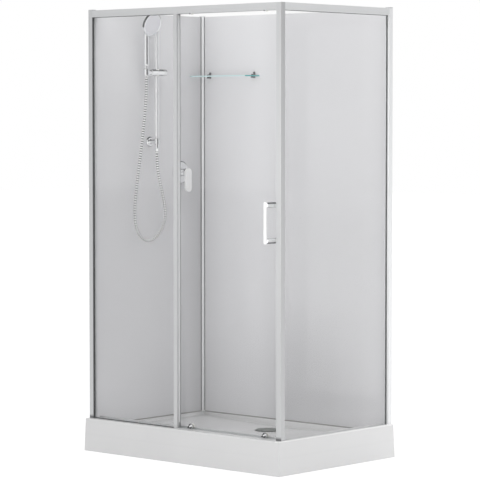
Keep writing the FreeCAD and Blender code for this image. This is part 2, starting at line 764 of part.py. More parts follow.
# Posts, rails, caps and the door's track
def make_frame():
    upright = ("tray_height", "frame_top_z")
    through = widened(upright, "overrun")
    fixed_slot_y = widened(("fixed_glass_y", "fixed_glass_back_y"), "glazing_clearance")
    side_slot_x = widened(("side_glass_inner_x", "side_glass_x"), "glazing_clearance")
    screws = []
    holes = {"left": [], "corner": [], "back": []}

    def screw(post, way, x, y):
        """A screw whose head is inside the post and whose shank fills the rail's chamber."""
        number = len(screws)
        radius = "rail_chamber / 2 - axle_fit"
        shank = "profile_wall + rail_screw_length"
        screws.append(turned(f"rail_screw_{number}", way, (x, y, "chamber_z"), [
            ("0", "-rail_screw_head"), ("rail_screw_head_radius", "-rail_screw_head"),
            ("rail_screw_head_radius", "0"), (radius, "0"), (radius, shank), ("0", shank)]))
        holes[post].append(turned(f"rail_screw_hole_{number}", way, (x, y, "chamber_z"), [
            ("0", "-profile_wall"), ("rail_chamber / 2", "-profile_wall"),
            ("rail_chamber / 2", "2 * profile_wall"), ("0", "2 * profile_wall")]))

    middle_y = "frame_front_y + post_depth / 2"
    middle_x = "side_rail_x + side_rail_width / 2"
    screw("left", "+x", "post_inner_x - profile_wall", middle_y)
    screw("corner", "-x", "corner_post_x + profile_wall", middle_y)
    screw("corner", "+y", middle_x, "post_back_y - profile_wall")
    screw("back", "-y", middle_x, "back_post_y + profile_wall")
    keep("rail_screws", group("rail_screws", screws))

    def post(name, x, y, slots, bores):
        """A hollow post. Below the rail each slot has walls of its own, which hold the post together."""
        room = box(name + "_core", inset(x, "profile_wall"), inset(y, "profile_wall"), through)
        grooves = []
        for count, (slot_x, slot_y) in enumerate(slots):
            grooves.append(box(f"{name}_slot_{count}", slot_x, slot_y, through))
            lining = box(f"{name}_lining_{count}", widened(slot_x, "profile_wall"),
                         widened(slot_y, "profile_wall"), (through[0], "rail_bottom_z"))
            room = cut(f"{name}_room_{count}", room, lining)
        keep(name, cut(name, box(name + "_bar", x, y, upright), room, *grooves, *bores))

    left = (("left_x", "post_inner_x"), ("frame_front_y", "post_back_y"))
    front_bite_y = ("post_back_y - glass_bite", "post_back_y + overrun")
    post("left_front_post", *left, [
        (("post_inner_x - glass_bite", "post_inner_x + overrun"), fixed_slot_y),
        (widened(("wall_back_x", "wall_x"), "glazing_clearance"), front_bite_y)], holes["left"])
    post("corner_post_tube", ("corner_post_x", "frame_right_x"), ("frame_front_y", "post_back_y"),
         [(side_slot_x, front_bite_y)], holes["corner"])
    strike = box("door_strike", ("corner_post_x", "corner_post_x + strike_width"),
                 ("post_back_y", "post_back_y + strike_depth"), ("tray_height", "rail_bottom_z"))
    keep("front_corner_post", fuse("front_corner_post", pieces.pop("corner_post_tube"), strike))
    back = (("back_post_x", "frame_right_x"), ("back_post_y", "back_y"))
    post("back_right_post", *back, [
        (side_slot_x, ("back_post_y - overrun", "back_post_y + glass_bite")),
        (("back_post_x - overrun", "back_post_x + glass_bite"),
         widened(("wall_y", "wall_back_y"), "glazing_clearance"))], holes["back"])
    caps = []
    for count, (x, y) in enumerate((left, back)):
        lid = box(f"post_cap_lid_{count}", x, y, ("frame_top_z", "frame_top_z + post_cap_height"))
        plug = box(f"post_cap_plug_{count}", inset(x, "profile_wall + glass_bite"),
                   inset(y, "profile_wall + glass_bite"),
                   ("frame_top_z - post_cap_spigot", "frame_top_z"))
        caps.append(fuse(f"post_cap_{count}", lid, plug))
    keep("post_end_caps", group("post_end_caps", caps))

    rail_z = ("rail_bottom_z", "frame_top_z")
    chamber_z = ("chamber_low_z", "chamber_top_z")
    groove_z = ("rail_bottom_z - overrun", "channel_top_z")
    front_x = ("post_inner_x", "corner_post_x")
    past_x = widened(front_x, "overrun")
    front = box("front_rail_bar", front_x, ("frame_front_y", "front_rail_back_y"), rail_z)
    keep("top_front_rail", cut("top_front_rail", front,
        box("front_rail_chamber", past_x, inset(("frame_front_y", "front_rail_back_y"), "rail_wall"),
            chamber_z),
        box("front_rail_slot", past_x, fixed_slot_y, groove_z),
        box("front_rail_channel", past_x, ("channel_front_y", "channel_back_y"), groove_z)))
    side_y = ("post_back_y", "back_post_y")
    past_y = widened(side_y, "overrun")
    side = box("side_rail_bar", ("side_rail_x", "frame_right_x"), side_y, rail_z)
    keep("top_side_rail", cut("top_side_rail", side,
        box("side_rail_chamber", inset(("side_rail_x", "frame_right_x"), "rail_wall"), past_y, chamber_z),
        box("side_rail_slot", side_slot_x, past_y, groove_z)))
    track_front = "front_rail_back_y - rail_wall / 2 - track_width"
    track_back = "front_rail_back_y - rail_wall / 2"
    base = box("track_plate", front_x, (track_front, track_back),
               ("tray_height", "tray_height + track_base"))
    fin = box("track_fin", front_x, (f"{track_back} - track_fin", track_back),
              ("tray_height", "tray_height + track_fin_height"))
    keep("door_bottom_track", fuse("door_bottom_track", base, fin))


# Glass panes, wall panels, gaskets and the inner corner profile
def make_panes():
    glass_z = ("tray_height + sill_height", "rail_bottom_z + glass_bite")
    fixed_y = ("fixed_glass_y", "fixed_glass_back_y")
    fixed_x = ("post_inner_x - glass_bite + glazing_clearance", "fixed_end_x - end_profile_web")
    keep("fixed_glass", box("fixed_glass", fixed_x, fixed_y, glass_z))
    side_x = ("side_glass_inner_x", "side_glass_x")
    side_y = ("post_back_y - glass_bite + glazing_clearance",
              "back_post_y + glass_bite - glazing_clearance")
    keep("side_glass", box("side_glass", side_x, side_y, ("tray_height", glass_z[1])))

    below_rail = ("tray_height", "rail_bottom_z")
    sill = ("tray_height", "tray_height + sill_height")
    under_rail = ("rail_bottom_z - gasket_line", "rail_bottom_z")
    strip_x = ("post_inner_x", "post_inner_x + gasket_width")
    run_x = ("post_inner_x", "fixed_end_left_x")
    lips = []
    for side, lip_y in (("front", ("fixed_glass_y - gasket_proud", "fixed_glass_y")),
                        ("back", ("fixed_glass_back_y", "fixed_glass_back_y + gasket_proud"))):
        lips.append(box(f"fixed_gasket_{side}", strip_x, lip_y, below_rail))
        lips.append(box(f"fixed_gasket_top_{side}", run_x, lip_y, under_rail))
    bed = box("fixed_gasket_bed", run_x, widened(fixed_y, "gasket_proud"), sill)
    keep("fixed_glass_gasket", fuse("fixed_glass_gasket", *lips, bed))

    lips = []
    run_y = ("post_back_y", "back_post_y")
    for side, lip_x in (("inner", ("side_glass_inner_x - gasket_proud", "side_glass_inner_x")),
                        ("outer", ("side_glass_x", "side_glass_x + gasket_proud"))):
        lips.append(box(f"side_gasket_{side}", lip_x, ("back_post_y - side_gasket_width", "back_post_y"),
                        below_rail))
        lips.append(box(f"side_gasket_top_{side}", lip_x, run_y, under_rail))
    keep("side_glass_gasket", group("side_glass_gasket", [
        fuse("side_gasket_inside", *lips[:2]), fuse("side_gasket_outside", *lips[2:])]))

    panel_z = ("panel_low_z", "panel_top_z")
    left_y = ("post_back_y - glass_bite + glazing_clearance", "wall_y - corner_leg + glass_bite")
    left = box("left_panel_sheet", ("wall_back_x", "wall_x"), left_y, panel_z)
    behind = "wall_back_x - overrun"
    reach = "panel_thickness + 2 * overrun"
    outlet_hole = rod("left_panel_outlet_hole", "elbow_tail_radius + panel_hole_clearance", reach, "+x",
                      behind, "riser_y", "riser_bottom_height")
    mixer_hole = rod("left_panel_mixer_hole", "mixer_sleeve_radius + panel_hole_clearance", reach, "+x",
                     behind, "mixer_y", "mixer_height")
    keep("left_wall_panel", cut("left_wall_panel", left, outlet_hole, mixer_hole))
    back_x = ("wall_x + corner_leg - glass_bite", "back_post_x + glass_bite - glazing_clearance")
    keep("back_wall_panel", box("back_wall_panel", back_x, ("wall_y", "wall_back_y"), panel_z))

    profile_z = ("ledge_height", "frame_top_z")
    past = widened(profile_z, "overrun")
    corner_x = ("left_x", "wall_x + corner_leg")
    corner_y = ("wall_y - corner_leg", "back_y")
    inner_x = "wall_x + corner_leg_thickness"
    inner_y = "wall_y - corner_leg_thickness"
    keep("back_left_corner_profile", cut("back_left_corner_profile",
        box("corner_profile_bar", corner_x, corner_y, profile_z),
        box("corner_profile_room", (inner_x, f"{corner_x[1]} + overrun"),
            (f"{corner_y[0]} - overrun", inner_y), past),
        box("corner_profile_left_slot", ("wall_back_x", "wall_x"),
            (f"{corner_y[0]} - overrun", f"{left_y[1]} + glazing_clearance"), past),
        box("corner_profile_back_slot", (f"{back_x[0]} - glazing_clearance", f"{corner_x[1]} + overrun"),
            ("wall_y", "wall_back_y"), past)))
    strips = [
        box("left_corner_gasket", ("wall_x", inner_x),
            (f"{corner_y[0]} - corner_gasket", corner_y[0]), panel_z),
        box("back_corner_gasket", (corner_x[1], f"{corner_x[1]} + corner_gasket"), (inner_y, "wall_y"),
            panel_z),
        box("left_sill", ("wall_back_x", "wall_x"), ("post_back_y", corner_y[0]),
            ("ledge_height", "panel_low_z")),
        box("back_sill", (corner_x[1], "back_post_x"), ("wall_y", "wall_back_y"),
            ("ledge_height", "panel_low_z"))]
    keep("wall_panel_gaskets", group("wall_panel_gaskets", strips))


# Fixed pane's end profile, sliding door, its edge strips, rollers and handle
def make_door():
    below_rail = ("tray_height", "rail_bottom_z")
    end = box("end_profile_bar", ("fixed_end_left_x", "fixed_end_x"),
              ("frame_front_y", "end_profile_back_y"), below_rail)
    slot = box("end_profile_slot", ("fixed_end_left_x - overrun", "fixed_end_x - end_profile_web"),
               ("fixed_glass_y", "fixed_glass_back_y"), widened(below_rail, "overrun"))
    keep("fixed_end_profile", cut("fixed_end_profile", end, slot))
    seal_x = "fixed_end_x - end_profile_web - overlap_seal_width"
    keep("overlap_seal", box("overlap_seal", (seal_x, f"{seal_x} + overlap_seal_width"),
                             ("end_profile_back_y", "door_y - door_profile_side - overlap_seal_gap"),
                             inset(below_rail, "overlap_seal_margin")))

    door_z = ("door_low_z", "door_top_z")
    pane_x = ("door_left_x + glass_bite", "door_glass_right_x")
    pane = box("door_pane", pane_x, ("door_y", "door_back_y"), door_z)
    holes = []
    wheels = {"bottom_left_roller": ("wheel_left_x", "wheel_low_z"),
              "bottom_right_roller": ("wheel_right_x", "wheel_low_z"),
              "top_left_roller": ("wheel_left_x", "wheel_top_z"),
              "top_right_roller": ("wheel_right_x", "wheel_top_z")}
    reach = "glass_thickness + 2 * overrun"
    for name, (x, z) in wheels.items():
        holes.append(rod(name + "_hole", "axle_radius + axle_hole_clearance", reach, "+y",
                         x, "door_y - overrun", z))
    for count, z in enumerate(("handle_low_z", "handle_high_z")):
        holes.append(rod(f"handle_hole_{count}", "handle_screw_radius + axle_hole_clearance", reach, "+y",
                         "handle_x", "door_y - overrun", z))
    keep("door_glass", cut("door_glass", pane, *holes))

    edge_x = ("door_left_x", "door_left_x + door_profile_width")
    edge = box("door_edge_bar", edge_x, widened(("door_y", "door_back_y"), "door_profile_side"), door_z)
    groove = box("door_edge_groove", (pane_x[0], f"{edge_x[1]} + overrun"), ("door_y", "door_back_y"),
                 widened(door_z, "overrun"))
    keep("door_edge_profile", cut("door_edge_profile", edge, groove))
    strip_x = ("door_glass_right_x", "corner_post_x - magnet_gap")
    strip_z = ("door_low_z", "rail_bottom_z - gasket_line")
    keep("door_magnet_strip", box("door_magnet_strip", strip_x,
                                  widened(("door_y", "door_back_y"), "magnet_lip"), strip_z))

    axles, caps = [], []
    wheel_back = "wheel_gap + wheel_width + running_gap"
    for name, (x, z) in wheels.items():
        bore = "axle_radius + axle_fit"
        keep(name, turned(name, "+y", (x, "wheel_y", z), [
            (bore, "0"), ("wheel_radius", "0"), ("wheel_radius", "wheel_width / 3"),
            ("wheel_radius - wheel_groove", "wheel_width / 2"), ("wheel_radius", "2 * wheel_width / 3"),
            ("wheel_radius", "wheel_width"), (bore, "wheel_width")]))
        spacer = "wheel_gap - running_gap"
        axles.append(turned(name + "_axle", "+y", (x, "door_back_y", z), [
            ("0", "-glass_thickness - axle_in_cap"), ("axle_radius", "-glass_thickness - axle_in_cap"),
            ("axle_radius", "0"), ("axle_head_radius", "0"), ("axle_head_radius", spacer),
            ("axle_radius", spacer), ("axle_radius", wheel_back), ("axle_head_radius", wheel_back),
            ("axle_head_radius", f"{wheel_back} + axle_head"), ("0", f"{wheel_back} + axle_head")]))
        caps.append(turned(name + "_cap", "-y", (x, "door_y", z), [
            ("axle_radius", "0"), ("roller_cap_radius", "0"), ("roller_cap_radius", "roller_cap_edge"),
            ("roller_cap_radius - roller_cap_edge / 2", "roller_cap_height - roller_cap_edge / 4"),
            ("roller_cap_radius - roller_cap_edge", "roller_cap_height"), ("0", "roller_cap_height"),
            ("0", "axle_in_cap"), ("axle_radius", "axle_in_cap")]))
    keep("roller_axles", group("roller_axles", axles))
    keep("roller_caps", group("roller_caps", caps))

    posts, screws = [], []
    for count, z in enumerate(("handle_low_z", "handle_high_z")):
        bite = "handle_screw_bite"
        hole = "handle_screw_radius + thread_clearance"
        posts.append(turned(f"handle_post_{count}", "-y", ("handle_x", "door_y", z), [
            (hole, "0"), ("handle_post_radius", "0"), ("handle_post_radius", "handle_standoff"),
            ("0", "handle_standoff"), ("0", bite), (hole, bite)]))
        screws.append(turned(f"handle_screw_{count}", "-y", ("handle_x", "door_back_y", z), [
            ("0", "-handle_cap_height"), ("handle_post_radius / 2", "-handle_cap_height"),
            ("handle_post_radius", "-handle_cap_height / 2"), ("handle_post_radius", "0"),
            ("handle_screw_radius", "0"), ("handle_screw_radius", f"glass_thickness + {bite}"),
            ("0", f"glass_thickness + {bite}")]))
    keep("handle_posts", group("handle_posts", posts))
    keep("handle_screws", group("handle_screws", screws))
    overhang = "(handle_bar_length - handle_spacing) / 2"
    bar = box("handle_bar_block", ("handle_x - handle_bar_width / 2", "handle_x + handle_bar_width / 2"),
              ("handle_bar_y - handle_bar_depth", "handle_bar_y"),
              widened(("handle_low_z", "handle_high_z"), overhang))

    def outer_edge(edge):
        return edge.BoundBox.YMax < read("handle_bar_y") - NEAR

    keep("handle_bar", rounded("handle_bar", bar, "handle_bar_round", outer_edge))


# Riser rail, outlet elbow, slider, holder and handset
def make_shower():
    riser_low = "riser_bottom_height + elbow_above / 2"
    bore = "riser_radius - riser_wall"
    keep("riser_rail", turned("riser_rail", "+z", ("riser_x", "riser_y", "0"), [
        (bore, riser_low), ("riser_radius", riser_low), ("riser_radius", "riser_top_z - riser_wall"),
        ("riser_radius - riser_wall", "riser_top_z"), ("0", "riser_top_z"),
        ("0", "riser_top_z - 2 * riser_wall"), (bore, "riser_top_z - 2 * riser_wall")]))
    stand = ("wall_x", "riser_y", "bracket_z")
    arm = turned("bracket_arm", "+x", stand, [
        ("0", "0"), ("rosette_radius", "0"), ("rosette_radius", "rosette_height / 2"),
        ("rosette_radius - rosette_height / 2", "rosette_height"), ("stub_radius", "rosette_height"),
        ("stub_radius", "riser_standoff + riser_radius + sleeve_wall"),
        ("0", "riser_standoff + riser_radius + sleeve_wall")])
    socket = rod("bracket_socket", "riser_radius + sleeve_fit", "4 * stub_radius", "+z",
                 "riser_x", "riser_y", "bracket_z - 2 * stub_radius")
    keep("riser_bracket", cut("riser_bracket", arm, socket))

    base = turned("elbow_stub", "+x", ("wall_x", "riser_y", "riser_bottom_height"), [
        ("0", "-elbow_tail_length"), ("elbow_tail_radius", "-elbow_tail_length"),
        ("elbow_tail_radius", "0"), ("rosette_radius", "0"), ("rosette_radius", "rosette_height / 2"),
        ("rosette_radius - rosette_height / 2", "rosette_height"), ("stub_radius", "rosette_height"),
        ("stub_radius", "riser_standoff"), ("0", "riser_standoff")])
    body = rod("elbow_body", "elbow_radius", "elbow_above + elbow_below", "+z",
               "riser_x", "riser_y", "elbow_low_z")
    seat = rod("elbow_seat", "riser_radius + sleeve_fit", "elbow_above + overrun", "+z",
               "riser_x", "riser_y", riser_low)
    down = rod("elbow_down_bore", "water_bore", "elbow_below + overrun", "+z",
               "riser_x", "riser_y", "elbow_low_z - overrun")
    inward = rod("elbow_bore", "water_bore", "elbow_tail_length + riser_standoff + overrun", "+x",
                 "wall_x - elbow_tail_length - overrun", "riser_y", "riser_bottom_height")
    keep("outlet_elbow", cut("outlet_elbow", fuse("elbow_whole", base, body), seat, down, inward))
    behind = ("wall_back_x", "riser_y", "riser_bottom_height")
    keep("outlet_back_nut", turned("outlet_back_nut", "-x", behind, [
        ("elbow_tail_radius", "0"), ("elbow_nut_radius", "0"), ("elbow_nut_radius", "elbow_nut_height"),
        ("elbow_tail_radius", "elbow_nut_height")]))
    keep("outlet_hose_nut", turned("outlet_hose_nut", "+z", ("riser_x", "riser_y", "hose_out_z"), [
        ("hose_bore_radius", "0"), ("neck_radius", "0"), ("hose_nut_radius", "hose_nut_height / 2"),
        ("hose_nut_radius", "hose_nut_height"), ("hose_bore_radius", "hose_nut_height")]))

    sleeve = "riser_radius + sleeve_fit"
    keep("slider_sleeve", turned("slider_sleeve", "+z", ("riser_x", "riser_y", "slider_height"), [
        (sleeve, "-sleeve_height / 2"), (f"{sleeve} + sleeve_wall", "-sleeve_height / 2"),
        (f"{sleeve} + sleeve_wall", "sleeve_height / 2"), (sleeve, "sleeve_height / 2")]))
    barrel = rod("slider_barrel", "slider_radius", "slider_front + slider_back", "+y",
                 "riser_x", "slider_low_y", "slider_height")
    bore = rod("slider_bore", f"{sleeve} + sleeve_wall + sleeve_fit", "4 * slider_radius", "+z",
               "riser_x", "riser_y", "slider_height - 2 * slider_radius")
    shank = rod("slider_knob_hole", "knob_shank_radius + axle_fit", "knob_shank + overrun", "+y",
                "riser_x", "slider_high_y - knob_shank", "slider_height")
    keep("slider_body", cut("slider_body", barrel, bore, shank))
    keep("slider_knob", turned("slider_knob", "+y", ("riser_x", "slider_high_y", "slider_height"), [
        ("0", "knob_gap - knob_shank"), ("knob_shank_radius", "knob_gap - knob_shank"),
        ("knob_shank_radius", "knob_gap"), ("slider_radius", "knob_gap"),
        ("slider_radius", "knob_length - knob_gap"), ("slider_radius - knob_gap", "knob_length"),
        ("0", "knob_length")]))

    def cone_radius(height):
        return f"cone_low_radius + cone_gap + cone_slope * ({height} + cone_low)"

    cup = turned("holder_cup", "+z", ("riser_x", "holder_y", "slider_height"), [
        (cone_radius("-holder_low"), "-holder_low"), ("holder_radius", "-holder_low"),
        ("holder_radius", "holder_high"), (cone_radius("holder_high"), "holder_high")])
    boss = rod("holder_boss", "holder_boss_radius", "slider_low_y - running_gap - holder_y", "+y",
               "riser_x", "holder_y", "slider_height")
    clear = turned("holder_clear", "+z", ("riser_x", "holder_y", "slider_height"), [
        ("0", "-2 * holder_radius"), (cone_radius("-2 * holder_radius"), "-2 * holder_radius"),
        (cone_radius("2 * holder_radius"), "2 * holder_radius"), ("0", "2 * holder_radius")])
    keep("handset_holder", fuse("handset_holder", cup, cut("holder_arm", boss, clear)))

    axis = ("riser_x", "holder_y", "0")
    keep("handset_hose_nut", turned("handset_hose_nut", "+z", axis, [
        ("hose_bore_radius", "cone_low_z"), ("cone_low_radius", "cone_low_z"),
        ("cone_high_radius", "cone_high_z"), ("hose_bore_radius", "cone_high_z")]))
    grip = turned("handset_grip", "+z", axis, [
        ("0", "cone_high_z"), ("neck_radius", "cone_high_z"), ("neck_radius", "grip_z"),
        ("grip_radius - grip_round / 2", "grip_z"), ("grip_radius", "grip_z + grip_round"),
        ("grip_radius", "grip_top_z - grip_round"), ("head_neck_radius", "grip_top_z"),
        ("0", "grip_top_z")])
    tilt = FreeCAD.Rotation(FreeCAD.Vector(0, 1, 0), 90 + read("head_tilt_degrees"))

    def tilted(name, points):
        body = turned(name, "+z", ("head_x", "holder_y", "head_z"), points)
        body.Placement = FreeCAD.Placement(body.Placement.Base, tilt)
        return body

    back = "-head_thickness / 2"
    front = "head_thickness / 2"
    seat = f"{front} - face_depth"
    dish = tilted("handset_head", [
        ("0", f"{back} - head_dome"), ("head_radius / 2", f"{back} - head_dome / 2"),
        ("head_radius - head_dome / 2", back), ("head_radius", f"{back} + head_dome / 2"),
        ("head_radius", front), ("face_radius", front), ("face_radius", seat), ("0", seat)])
    hollow = tilted("handset_head_room", [
        ("0", f"{back} - head_dome / 2 + handset_wall"),
        ("head_radius / 2", f"{back} - head_dome / 2 + handset_wall"),
        ("face_radius - handset_wall", f"{back} + handset_wall"), ("face_radius - handset_wall", front),
        ("0", front)])
    start = FreeCAD.Vector(read("riser_x"), read("holder_y"), read("grip_top_z") - read("grip_round"))
    finish = FreeCAD.Vector(read("head_x"), read("holder_y"), read("head_z"))
    finish -= tilt.multVec(FreeCAD.Vector(0, 0, (read("head_thickness") + read("head_dome")) / 2))
    way = FreeCAD.Rotation(FreeCAD.Vector(0, 0, 1), finish - start)
    neck = {}
    for name, radius, extra in (("handset_neck", "head_neck_radius", 0),
                                ("handset_neck_room", "hose_bore_radius", read("handset_wall"))):
        neck[name] = doc.addObject("Part::Cylinder", name)
        bind(neck[name], "Radius", radius)
        neck[name].Height = (finish - start).Length + 2 * extra
        lowered = start - (finish - start).normalize() * extra
        neck[name].Placement = FreeCAD.Placement(lowered, way)
    grip_room = rod("handset_grip_room", "grip_radius - handset_wall", "grip_length - 2 * grip_round", "+z",
                    "riser_x", "holder_y", "grip_z + grip_round")
    water_way = rod("handset_water_way", "hose_bore_radius", "neck_height + 2 * grip_round", "+z",
                    "riser_x", "holder_y", "cone_high_z")
    keep("handset_body", cut("handset_body", fuse("handset_whole", grip, neck["handset_neck"], dish),
                             hollow, neck["handset_neck_room"], grip_room, water_way))
    keep("handset_spray_face", tilted("handset_spray_face", [
        ("0", seat), ("face_radius", seat), ("face_radius", front),
        ("face_radius - face_proud", f"{front} + face_proud"),
        ("0", f"{front} + face_proud")]))


# Hose: ribbed tube on straight runs and tangent arcs
def make_hose():
    handset_end = FreeCAD.Vector(read("riser_x"), read("holder_y"), read("cone_low_z"))
    outlet_end = FreeCAD.Vector(read("riser_x"), read("riser_y"), read("hose_out_z"))
    route = [end + FreeCAD.Vector(0, across, -drop)
             for end, limb in ((handset_end, HANDSET_LIMB), (outlet_end, OUTLET_LIMB))
             for across, drop in limb]
    edges, radii = [], []
    here = route[0]
    for before, corner, after in zip(route, route[1:], route[2:]):
        inward = (corner - before).normalize()
        outward = (after - corner).normalize()
        half = inward.getAngle(outward) / 2
        trim = BEND_SHARE * min((corner - before).Length, (after - corner).Length)
        radii.append(trim / math.tan(half))
        first = corner - inward * trim
        last = corner + outward * trim
        centre = corner + (outward - inward).normalize() * (trim / math.sin(half))
        middle = centre + (corner - centre).normalize() * radii[-1]
        edges.append(Part.LineSegment(here, first).toShape())
        edges.append(Part.Arc(first, middle, last).toShape())
        here = last
    edges.append(Part.LineSegment(here, route[-1]).toShape())
    path = Part.Wire(edges)
    print("hose length", round(path.Length, 1), "bend radii", [round(radius) for radius in radii])

    steady = FreeCAD.Vector(1, 0, 0)
    outer, inner = read("hose_radius"), read("hose_radius") - read("hose_rib_height")
    plain = 2 * outer
    pitch = (path.Length - 2 * plain) / HOSE_RIBS
    # Heights along one rib, as shares of its pitch, and whether the circle is the wide one
    rib_shares = ((0.15, False), (0.35, True), (0.75, True), (0.95, False))
    stations = [(0, inner)]
    for rib in range(HOSE_RIBS):
        stations += [(plain + (rib + share) * pitch, outer if wide else inner)
                     for share, wide in rib_shares]
    stations.append((path.Length, inner))
    spans = []
    run = 0
    for edge in edges:
        spans.append((run, run + edge.Length, edge))
        run += edge.Length

    def ring(distance, radius):
        low, high, edge = next((span for span in spans if distance <= span[1]), spans[-1])
        share = (distance - low) / (high - low)
        along = edge.FirstParameter + (edge.LastParameter - edge.FirstParameter) * share
        circle = Part.Circle(edge.valueAt(along), edge.tangentAt(along), radius)
        circle.XAxis = steady
        return Part.Wire(circle.toShape())

    skin = Part.makeLoft([ring(*station) for station in stations], True, True)
    bore = read("hose_bore_radius")
    core = path.makePipeShell([ring(0, bore)], True, True)
    shape = skin.cut(core)
    frusta = zip(stations, stations[1:])
    sections = sum((far - near) * (small * small + small * large + large * large) / 3
                   for (near, small), (far, large) in frusta)
    print("hose volume", round(shape.Volume), "against section times length",
          round(math.pi * (sections - bore * bore * path.Length)))
    keep("shower_hose", solid("shower_hose", shape))


# Mixer: valve behind the panel, cartridge, rosette with sleeve, collar, lever and pipe
def make_mixer():
    axis = ("wall_x", "mixer_y", "mixer_height")
    inside = "mixer_sleeve_radius - mixer_sleeve_wall"
    end = "mixer_rosette_height + mixer_sleeve_length"
    keep("mixer_rosette", turned("mixer_rosette", "+x", axis, [
        (inside, "0"), ("mixer_rosette_radius", "0"), ("mixer_rosette_radius", "mixer_rosette_height / 2"),
        ("mixer_rosette_radius - mixer_rosette_height / 2", "mixer_rosette_height"),
        ("mixer_sleeve_radius", "mixer_rosette_height"), ("mixer_sleeve_radius", end), (inside, end)]))
    seat = "-panel_thickness"
    keep("mixer_cartridge", turned("mixer_cartridge", "+x", axis, [
        ("0", seat), ("cartridge_radius", seat), ("cartridge_radius", "cartridge_length"),
        ("knob_shank_radius", "cartridge_length"), ("knob_shank_radius", end), ("0", end)]))
    hub = rod("valve_hub", "valve_radius", "valve_depth", "-x", "wall_back_x", "mixer_y", "mixer_height")
    arm = rod("valve_arms", "valve_arm_radius", "2 * valve_arm", "+y", "valve_x", "mixer_y - valve_arm",
              "mixer_height")
    parts = [hub, arm]
    bores = []
    for side, sign in (("hot", "+"), ("cold", "-")):
        y = f"mixer_y {sign} (valve_arm - valve_arm_radius)"
        boss = "valve_depth / 2 + inlet_boss"
        parts.append(rod(f"{side}_tail", "inlet_boss_radius", boss, "-x", "valve_x", y, "mixer_height"))
        parts.append(rod(f"{side}_thread", "inlet_radius", f"{boss} + inlet_length", "-x",
                         "valve_x", y, "mixer_height"))
        bores.append(rod(f"{side}_bore", "inlet_bore_radius", f"{boss} + inlet_length + overrun", "-x",
                         "valve_x", y, "mixer_height"))
    boss = rod("valve_outlet", "valve_arm_radius", "valve_radius + pipe_radius", "+z", "valve_x", "mixer_y",
               "mixer_height")
    outlet = rod("valve_outlet_bore", "pipe_radius + axle_fit", "valve_radius + pipe_radius + overrun",
                 "+z", "valve_x", "mixer_y", "mixer_height + valve_radius")
    keep("mixer_valve", cut("mixer_valve", fuse("valve_whole", *parts, boss), *bores, outlet))

    front = "running_gap + collar_height"
    disc = turned("collar_disc", "+x", ("sleeve_end_x", "mixer_y", "mixer_height"), [
        ("0", "running_gap"), ("collar_radius", "running_gap"),
        ("collar_radius", f"{front} - hinge_bead_inset / 2"),
        ("collar_radius - hinge_bead_inset / 2", front), ("0", front)])
    bead_x = "collar_end_x + running_gap / 2"
    bead_z = "mixer_height + collar_radius - hinge_bead_inset"
    bead = rod("hinge_bead", "hinge_bead_radius", "hinge_bead_length", "+y", bead_x,
               "mixer_y - hinge_bead_length / 2", bead_z)
    keep("mixer_collar", fuse("mixer_collar", disc, bead))
    low = "collar_end_x + running_gap"
    half = "lever_width / 2"
    foot = "mixer_height - lever_length + lever_width"
    slab = box("lever_slab", (low, f"{low} + lever_thickness"), (f"mixer_y - {half}", f"mixer_y + {half}"),
               (foot, "mixer_height"))
    ends = [rod(f"lever_end_{count}", half, "lever_thickness", "+x", low, "mixer_y", z)
            for count, z in enumerate(("mixer_height", foot))]
    whole = fuse("lever_whole", slab, *ends)

    def lever_edge(edge):
        faces = (read("collar_end_x") + read("running_gap"),
                 read("collar_end_x") + read("running_gap") + read("lever_thickness"))
        return edge.BoundBox.XLength < NEAR and min(abs(edge.BoundBox.XMin - face) for face in faces) < NEAR

    groove = rod("lever_groove", "hinge_bead_radius + running_gap", "hinge_bead_length + 2 * running_gap",
                 "+y", bead_x, "mixer_y - hinge_bead_length / 2 - running_gap", bead_z)
    blank = rounded("lever_rounded", whole, "lever_round", lever_edge)
    keep("mixer_lever", cut("mixer_lever", blank, groove))

    x = read("valve_x")
    bend = read("pipe_bend")
    level = read("riser_bottom_height")
    foot_z = read("mixer_height") + read("valve_radius")
    stop = read("riser_y") + read("elbow_tail_radius")
    corner = FreeCAD.Vector(x, read("mixer_y"), level)
    rise = FreeCAD.Vector(x, read("mixer_y"), level - bend)
    side = FreeCAD.Vector(x, read("mixer_y") - bend, level)
    slant = bend * (1 - math.sqrt(0.5))
    edges = [Part.LineSegment(FreeCAD.Vector(x, read("mixer_y"), foot_z), rise).toShape(),
             Part.Arc(rise, corner + FreeCAD.Vector(0, -slant, -slant), side).toShape(),
             Part.LineSegment(side, FreeCAD.Vector(x, stop, level)).toShape()]
    path = Part.Wire(edges)
    up = FreeCAD.Vector(0, 0, 1)
    walls = [path.makePipeShell([Part.Wire(Part.Circle(edges[0].valueAt(0), up, read(name)).toShape())],
                                True, True) for name in ("pipe_radius", "pipe_bore_radius")]
    keep("mixer_pipe", solid("mixer_pipe", walls[0].cut(walls[1])))


